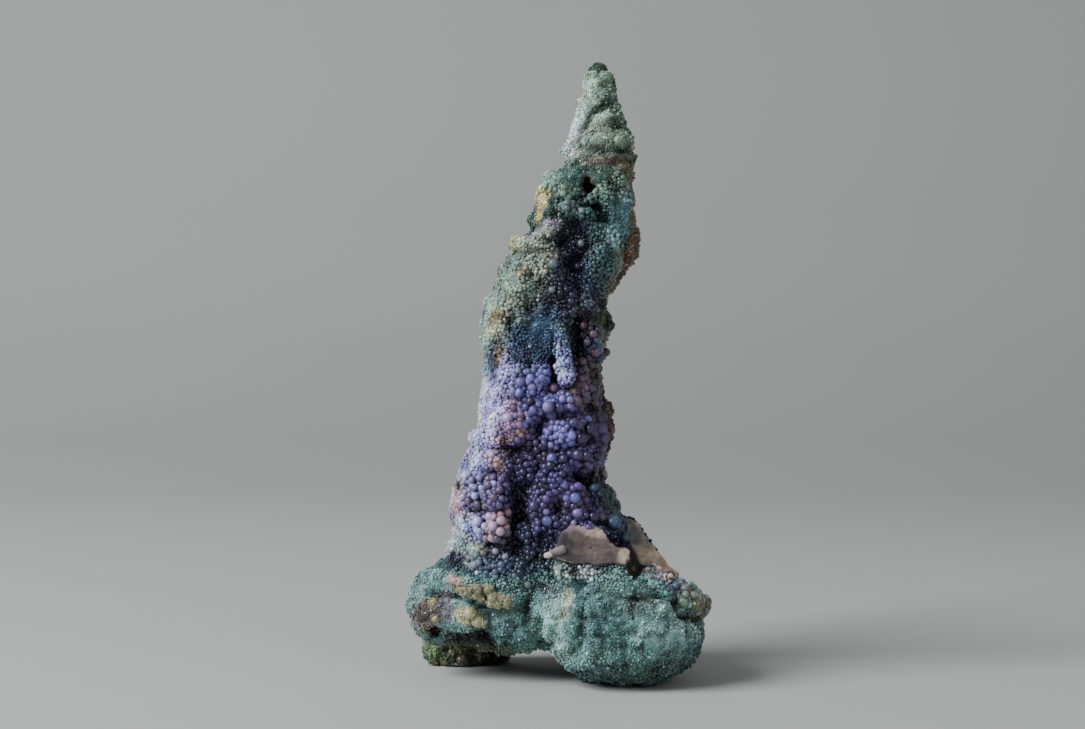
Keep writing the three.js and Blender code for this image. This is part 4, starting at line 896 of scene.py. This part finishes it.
def joined_balls(centres, facing, radii, colours, shape, faces, wobble, rng):
    """One mesh of balls, each turned at random and a little out of round, with painted shade at its root
    and painted light at its tip.
    """
    count, corners = len(centres), len(shape)
    stretch = 1 + wobble * rng.uniform(-1, 1, (count, 1, 3))
    turned = np.einsum("nij,nvj->nvi", random_turns(count, rng), shape[None] * stretch)
    dents = 1 + wobble * 0.5 * rng.uniform(-1, 1, (count, corners, 1)) * (corners < FEW_CORNERS)
    verts = centres[:, None] + turned * dents * radii[:, None, None]
    tris = faces[None] + (np.arange(count) * corners)[:, None, None]
    tip = np.einsum("nvk,nk->nv", turned, facing)[:, :, None]
    # painted shade at each bead's root, painted light towards its tip
    tints = colours[:, None] * blend(ROOT_SHADE, TIP_LIGHT, smooth(TIP_LIGHT_FROM, 1.0, tip))
    # a whitish painted highlight on each tip, weaker on dark beads
    highlight_share = np.clip(TIP_HIGHLIGHT_GAIN * colours.mean(axis=1), 0, 1)[:, None, None]
    tints = blend(tints, TIP_HIGHLIGHT_COLOUR, TIP_HIGHLIGHT * highlight_share * smooth(TIP_HIGHLIGHT_FROM, 1.0, tip))
    return verts.reshape(-1, 3), tris.reshape(-1, 3), np.clip(tints, 0, 1).reshape(-1, 3)


def bead_pieces(name, beads, rng):
    """Objects of joined balls, each with fewer triangles than the most a piece may have."""
    solid, cuts, wobble, material = LOOKS[name]
    shape, faces = ball(solid, cuts)
    count = len(beads[0])
    parts = max(1, math.ceil(count * len(faces) / MOST_TRIANGLES))
    pieces = []
    for index, chunk in enumerate(np.array_split(np.arange(count), parts)):
        mesh = joined_balls(*(column[chunk] for column in beads), shape, faces, wobble, rng)
        pieces.append(new_object(f"{name}_{index + 1}", *mesh, material, cuts > 0))
    return pieces


# ------------ the ground under the beads
class Surface:
    """The ground's triangles, with what is known at each of their corners."""

    def __init__(self, tris, **fields):
        self.tris = tris
        self.fields = fields

    def samples(self, count, wanted, rng):
        """Random points where wanted is true, as an array for each field."""
        a, b, c = (self.fields["place"][self.tris[:, k]] for k in range(3))
        area = np.linalg.norm(np.cross(b - a, c - a), axis=1)
        area = area * wanted[self.tris].mean(axis=1)
        chosen = rng.choice(len(self.tris), count, p=area / area.sum())
        s, t = rng.random((2, count))
        flip = s + t > 1
        s[flip], t[flip] = 1 - s[flip], 1 - t[flip]
        return self.at(chosen, np.stack([1 - s - t, s, t], axis=1))

    def at(self, chosen, share):
        """Every field at places in the chosen triangles, by their shares of the three corners."""
        found = {}
        for name, field in self.fields.items():
            found[name] = np.einsum("nk,nk...->n...", share, field[self.tris[chosen]])
        found["facing"] = unit(found["facing"])
        return found


def remeshed(source):
    """A smooth, evenly meshed copy of a CAD mesh."""
    copy = add_object("ground_copy", source.data.copy())
    remesh = copy.modifiers.new("remesh", "REMESH")
    remesh.mode = "VOXEL"
    remesh.voxel_size = VOXEL * MM
    soften = copy.modifiers.new("soften", "SMOOTH")
    soften.factor = SOFTENING
    soften.iterations = SMOOTHING
    graph = bpy.context.evaluated_depsgraph_get()
    mesh = bpy.data.meshes.new_from_object(copy.evaluated_get(graph))
    bpy.data.objects.remove(copy)
    return mesh


def ground(source, solid):
    """The stone's own surface, sunk to carry the beads, as an object and as a Surface."""
    verts, normals, tris = mesh_data(remeshed(source))
    size = bead_size_at(verts)
    plate = on_plate(verts, solid)
    front = front_share(verts)
    sugar = sugar_at(verts)
    place = shown(verts)
    hollow = np.max([oval(place, patch) for patch in BARE], axis=0) * front > 0.5
    hollow |= verts[:, 2] > TIP_BARE
    sink = np.where(plate, PLATE_SINK, SINK_SHARE * size)
    rough = np.where(plate, PLATE_LUMPS, LUMPS[0] + LUMPS[1] * (1 - front) + LUMPS[2] * sugar)
    lumps = rough * layers(verts, "lumps")
    clumps, high, mark = clumps_at(verts)
    mounds = mounds_at(verts)
    rise = np.where(plate, 0.0, clumps + mounds + CLUMP_LIFT) + TIP_GAIN * smooth(*TIP_SPAN, verts[:, 2])
    high = high + HIGH_GAIN[0] * mounds + HIGH_GAIN[1] * lumps * sugar + HIGH_LIFT
    high = np.clip(high, 0.0, HIGH_MOST)
    colour = colour_at(verts)
    verts = verts + normals * (lumps + rise - sink)[:, None]
    verts[:, 2] = np.maximum(verts[:, 2], 0.0)
    # painted shade on the ground: darker under round beads and in creases, and tinted prune between them
    shade = colour * (blend(*GROUND_SHADE, sugar) * (GROUND_CREASE_SHADE[0] + GROUND_CREASE_SHADE[1] * high))[:, None]
    shade = blend(shade, rgb("prune") * CREASE_SHADE_TONE, ((1 - sugar) * CREASE_SHADE_SHARE)[:, None])
    # the ground under the plates is dark brown: painted shade where it shows past their rims
    shade[plate] = rgb("umber")
    obj = new_object("stone_ground", verts, tris, shade, "stone_rock")
    facing = read(obj.data.vertices, "normal")
    surface = Surface(tris, place=verts, facing=facing, colour=colour, size=size, sugar=sugar,
                      bare=(plate | hollow).astype(float), front=front, high=high, mark=mark)
    return obj, surface


# ------------ single growth
def placed_grapes(tree, wanted):
    """Grapes set one by one on the ground: their feet, normals, radii and colours."""
    found = []
    for name, across, up, diameter in wanted:
        point, facing, _ = seen(tree, across, up)
        if point is not None:
            found.append((point, facing, diameter / 2, rgb(name)))
    return [np.array(column) for column in zip(*found)]


def tip_cap(surface):
    """The dark dome on the very tip, as one ball: centre, normal, radius and colour."""
    colour, radius, top = TIP_CAP
    place = surface.fields["place"]
    crest = place[place[:, 2] > TIP_BARE].mean(axis=0)
    centre = np.array([[crest[0], crest[1], top - radius]])
    return centre, np.array([[0.0, 0.0, 1.0]]), np.array([radius]), rgb(colour)[None]


def crust(centres, facing, radii, colours, rng):
    """Crystals strewn over the front of the nodules: centres, normals, radii and colours."""
    owner = np.repeat(np.arange(len(radii)), np.ceil(CRUST_SHARE * radii ** 2).astype(int))
    away = unit(unit(rng.normal(size=(len(owner), 3))) + CRUST_FRONT * facing[owner])
    grains = rng.uniform(*CRUST_GRAIN, len(owner))
    tones = np.exp(CRUST_TONES * rng.normal(size=len(owner)))
    return centres[owner] + away * radii[owner, None], away, grains, colours[owner] * tones[:, None]


def finger():
    """The broken finger as a run of balls."""
    balls = []
    for (colour, *start), (_, *stop) in zip(STUB, STUB[1:]):
        for share in np.linspace(0, 1, STUB_STEPS):
            balls.append((colour, *blend(np.array(start), np.array(stop), share)))
    return balls


def thread_grains():
    """The pale ledge line as a row of grains."""
    grains = []
    for (a, b), (c, d) in zip(THREAD, THREAD[1:]):
        steps = round(math.hypot(c - a, d - b) / (THREAD_STEP * THREAD_GRAIN))
        grains += [("cream", a + (c - a) * k / steps, b + (d - b) * k / steps, THREAD_GRAIN)
                   for k in range(steps)]
    return grains


def stub(tree, rng):
    """The broken finger and the thin ledge on the front plate, as runs of merging balls."""
    points, facing, radii, colours = placed_grapes(tree, finger() + thread_grains())
    centres = points + facing * (STUB_LIFT * radii)[:, None]
    last = len(finger())
    centres[:last, 1] = centres[last - 1, 1] - STUB_PROUD
    return bead_pieces("stub", (centres, facing, radii, colours), rng)


def plate_slab(name, colour, outline, clouds, solid):
    """A broken plate as a thin closed slab on the solid's own: a grainy face with a ragged rim."""
    corners = np.array(outline)
    centre, facing = plate_plane(solid, corners)
    rim = []
    for start, stop in zip(corners, np.roll(corners, -1, axis=0)):
        steps = max(1, round(float(np.linalg.norm(stop - start)) / PLATE_STEP))
        rim += [start + (stop - start) * k / steps for k in range(steps)]
    rim = np.array(rim)
    sights = np.column_stack([rim[:, 0] + SHIFT, np.full(len(rim), PLANE_Y), rim[:, 1]]) - EYE
    reach = np.dot(centre - EYE, facing) / (sights @ facing)
    edge = EYE + sights * reach[:, None]
    heart = edge.mean(axis=0)
    edge += unit(edge - heart) * layers(edge, "plate rim")[:, None]
    shares = [*np.linspace(PLATE_HUB, 1 - PLATE_HUB, PLATE_RINGS), 1.0, 1.0, PLATE_HUB]
    heights = [PLATE_PROUD] * PLATE_RINGS + [PLATE_PROUD - PLATE_BEVEL, -PLATE_DEPTH, -PLATE_DEPTH]
    verts = np.concatenate([blend(heart, edge, share) for share in shares])
    lift = np.repeat(heights, len(edge))
    grain = layers(verts, "plate grain")
    verts = verts + facing * (lift + grain * (lift > 0))[:, None]
    size = len(edge)
    tris = []
    for ring, k in product(range(len(shares)), range(size)):
        here, after = ring * size, (ring + 1) % len(shares) * size
        near = (k + 1) % size
        tris += [(here + k, after + k, after + near), (here + k, after + near, here + near)]
    tint = np.tile(rgb(colour), (len(verts), 1))
    tint = painted(tint, clouds, shown(verts), layers(verts, "cloud edges"))
    # painted light on the grain's tops and painted shade in its hollows, with the plate's own streaks
    tint *= np.exp(PLATE_TONE * grain + layers(verts * PLATE_STREAKS, "streaks"))[:, None]
    return new_object(name, verts, np.array(tris), tint, "plate_face")


# ------------ strewn growth
class Crowd:
    """Beads of one size class, kept in cells so that a newcomer's room is quick to find."""

    def __init__(self, largest, spacing):
        self.cell = 2 * largest * spacing
        self.spacing = spacing
        self.cells = defaultdict(list)

    def key(self, x, y, z):
        return int(x // self.cell), int(y // self.cell), int(z // self.cell)

    def has_room(self, x, y, z, radius):
        i, j, k = self.key(x, y, z)
        for key in product((i - 1, i, i + 1), (j - 1, j, j + 1), (k - 1, k, k + 1)):
            for px, py, pz, pr in self.cells.get(key, ()):
                need = self.spacing * (radius + pr)
                if (px - x) ** 2 + (py - y) ** 2 + (pz - z) ** 2 < need * need:
                    return False
        return True

    def add(self, x, y, z, radius):
        self.cells[self.key(x, y, z)].append((x, y, z, radius))


def grow(surface, placed, rng):
    """Beads and crystals of every class: the surface's fields where each grows, and its radius."""
    sugary = surface.fields["sugar"] > SUGAR_EDGE
    front = surface.fields["front"] > 0.5
    bare = surface.fields["bare"] > 0.5
    regions = {"beads": ~sugary & front & ~bare, "sugar": sugary & front & ~bare, "back": ~front & ~bare}
    crowds = [Crowd(PLACED_LARGEST, PLACED_SPACING)]
    for point, radius in zip(placed[0], placed[2]):
        crowds[0].add(*point.tolist(), float(radius))
    grown = []
    for name, (low, high), count, spacing, _, _, where, _ in CLASSES:
        spots = surface.samples(count, regions[where].astype(float), rng)
        by_height = SIZE_BY_HEIGHT[0] + SIZE_BY_HEIGHT[1] * spots["high"]
        limit = spots["size"] * by_height * (1 + SIZE_SPREAD * rng.uniform(-1, 1, count))
        if where != "beads":
            limit = np.full(count, high)
        elif name == "berrys":
            limit = np.maximum(limit, low)
        most = np.minimum(limit, high)
        if name == "berrys":
            spare = spots["size"] > BERRY_ROOM
            limit[spare & (rng.random(count) > BERRY_SHARE)] = 0.0
        radii = blend(low, most, rng.random(count) ** SIZE_POWER)
        fits = (limit >= low) & (spots["place"][:, 2] > FLOOR_ROOM * radii) & (spots["bare"] < 0.5)
        crowd = Crowd(high, spacing)
        crowds.append(crowd)
        places = spots["place"].tolist()
        kept = []
        for index in np.flatnonzero(fits):
            place = (*places[index], float(radii[index]))
            if all(other.has_room(*place) for other in crowds):
                crowd.add(*place)
                kept.append(index)
        spots["radius"] = radii
        grown.append({field: values[kept] for field, values in spots.items()})
    return grown


def bead_colours(spots, bright, crease_shades, rng):
    """Colours of grown beads: painted shade in creases, changing from clump to clump and from bead to
    bead.
    """
    count = len(spots["radius"])
    place, mark = spots["place"], spots["mark"]
    low, most, power = crease_shades
    # painted shade, partly the stone's own darker colour: beads low in their clump are darker
    tone = low + most * spots["high"] ** power
    tone = tone * np.exp(TONE_SPREAD[0] * rng.normal(size=count) + TONE_SPREAD[1] * mark)
    tone *= np.exp(layers(place, "bead tone"))
    warmth = layers(place, "bead warmth") + WARM_SPREAD[1] * mark
    warmth = warmth + WARM_SPREAD[0] * rng.normal(size=count)
    cast = np.stack([1 + warmth, np.ones(count), 1 - COOLING * warmth], axis=1)
    colours = spots["colour"] * tone[:, None] * cast
    # a few beads whitened at random: painted glints
    chosen = rng.random(count) < bright
    colours[chosen] = blend(colours[chosen], rgb("frost"), BRIGHTENING)
    return np.clip(colours, 0, 1)


def strewn(name, spots, lift, spread, bright, rng):
    """The pieces of one class, from the places where it grows."""
    colours = bead_colours(spots, bright, CREASE_SHADES[LOOKS[name][1] > 0], rng)
    heights = (lift + spread * rng.uniform(-1, 1, len(colours))) * spots["radius"]
    centres = spots["place"] + spots["facing"] * heights[:, None]
    centres[:, 2] = np.maximum(centres[:, 2], spots["radius"])
    return bead_pieces(name, (centres, spots["facing"], spots["radius"], colours), rng)


# ------------ shading
def fill(tree, node, inputs):
    """Sets a node's inputs to values, or links them to other nodes' sockets."""
    for name, value in inputs.items():
        if isinstance(value, bpy.types.NodeSocket):
            tree.links.new(value, node.inputs[name])
        else:
            node.inputs[name].default_value = value


def add_node(tree, kind, **inputs):
    """A new shader node with its inputs; a space in an input's name is written as _."""
    node = tree.nodes.new("ShaderNode" + kind)
    fill(tree, node, {name.replace("_", " "): value for name, value in inputs.items()})
    return node


def new_material(name):
    """A material, its node tree and its shader."""
    material = bpy.data.materials.new(name)
    material.use_nodes = True
    return material, material.node_tree, material.node_tree.nodes["Principled BSDF"]


def stone_material(name, roughness, subsurface, bump, tone, coat, sheen):
    """Chalcedony: tinted by the attribute, cloudy, faintly translucent and softly glossy."""
    _, tree, shader = new_material(name)
    tint = add_node(tree, "Attribute")
    tint.attribute_name = "tint"
    place = add_node(tree, "TexCoord").outputs["Object"]
    cloud = add_node(tree, "TexNoise", Vector=place, Scale=CLOUD_SCALE, Detail=3).outputs["Fac"]
    spread = add_node(tree, "MapRange", Value=cloud, From_Min=CLOUD_SPAN[0], From_Max=CLOUD_SPAN[1],
                      To_Min=1 - tone, To_Max=1 + tone)
    shade = add_node(tree, "VectorMath")
    shade.operation = "SCALE"
    fill(tree, shade, {"Vector": tint.outputs["Color"], "Scale": spread.outputs["Result"]})
    gloss = add_node(tree, "MapRange", Value=cloud, To_Min=roughness + GLOSS_SPAN[0],
                     To_Max=roughness + GLOSS_SPAN[1])
    fine = add_node(tree, "TexNoise", Vector=place, Scale=FINE_SCALE, Detail=2).outputs["Fac"]
    relief = add_node(tree, "Bump", Height=fine, Strength=bump, Distance=RELIEF * MM)
    fill(tree, shader, ALWAYS)
    fill(tree, shader, {
        "Base Color": shade.outputs["Vector"], "Roughness": gloss.outputs["Result"],
        "Normal": relief.outputs["Normal"], "Subsurface Weight": subsurface, "Coat Weight": coat,
        "Sheen Weight": sheen,
    })


# ------------ stage
def stage():
    """Pale floor that curves up into a backdrop."""
    verts = [(x, y, z) for y, z in FLOOR_PROFILE for x in (-FLOOR_HALF, FLOOR_HALF)]
    faces = [(2 * k, 2 * k + 1, 2 * k + 3, 2 * k + 2) for k in range(len(FLOOR_PROFILE) - 1)]
    mesh = bpy.data.meshes.new("floor")
    mesh.from_pydata(verts, [], faces)
    for polygon in mesh.polygons:
        polygon.use_smooth = True
    floor = add_object("floor", mesh)
    material, tree, shader = new_material("pale_floor")
    fill(tree, shader, {"Base Color": FLOOR_COLOUR, "Roughness": FLOOR_ROUGHNESS})
    mesh.materials.append(material)


def light():
    """A large soft window at the left, a weak fill at the right and a pale sky."""
    for name, place, size, power, colour in LAMPS:
        data = bpy.data.lights.new(name, "AREA")
        data.shape = "RECTANGLE"
        data.size = size
        data.size_y = size
        data.energy = power
        data.color = colour
        obj = add_object(name, data)
        obj.location = place
        obj.rotation_euler = (Vector(LAMP_TARGET) - Vector(place)).to_track_quat("-Z", "Y").to_euler()
    world = bpy.data.worlds.new("studio")
    world.use_nodes = True
    sky = world.node_tree.nodes["Background"]
    fill(world.node_tree, sky, {"Color": SKY_COLOUR, "Strength": SKY_STRENGTH})
    bpy.context.scene.world = world


def camera():
    """The photograph's view: level, from the eye."""
    data = bpy.data.cameras.new("camera")
    data.lens = LENS
    data.sensor_width = SENSOR
    data.dof.use_dof = False
    obj = add_object("camera", data)
    obj.location = EYE * MM
    obj.rotation_euler = (math.pi / 2, 0, 0)
    bpy.context.scene.camera = obj


# ------------ the whole
def main():
    rng = np.random.default_rng(SEED)
    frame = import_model()
    camera()
    light()
    stage()
    for name, values in MATERIALS.items():
        stone_material(name, *values)

    source = frame["nodes"][NODE]
    verts, _, tris = mesh_data(source.data)
    solid = tree_of(verts, tris)
    base, surface = ground(source, solid)
    cap = tip_cap(surface)
    pieces = [base, *bead_pieces("tip_cap", cap, rng)]
    plates = [plate_slab(*plate, solid) for plate in PLATES]
    pieces += plates

    tree = tree_of(surface.fields["place"], surface.tris)
    placed = placed_grapes(tree, GRAPES)
    points, facing, radii, colours = placed
    beads = (points + facing * (GRAPE_LIFT * radii)[:, None], facing, radii, colours * GRAPE_TONE)
    pieces += bead_pieces("single_grapes", beads, rng)
    points, facing, radii, colours = placed_grapes(tree, NODULES)
    centres = points - facing * (NODULE_SINK * radii)[:, None]
    beads = (centres, facing, radii * NODULE_SIZE, colours * NODULE_TONE)
    pieces += bead_pieces("nodules", beads, rng)
    crusted = [np.concatenate(columns) for columns in zip(beads, cap)]
    pieces += bead_pieces("crust", crust(*crusted, rng), rng)

    verts, _, tris = mesh_data(plates[0].data)
    both = np.concatenate([surface.fields["place"], verts])
    both_tris = np.concatenate([surface.tris, tris + len(surface.fields["place"])])
    pieces += stub(tree_of(both, both_tris), rng)
    for (name, _, _, _, *heights, _, bright), spots in zip(CLASSES, grow(surface, placed, rng)):
        pieces += strewn(name, spots, *heights, bright, rng)

    for piece in pieces:
        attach(piece, BODY)
    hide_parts(NODE)


main()
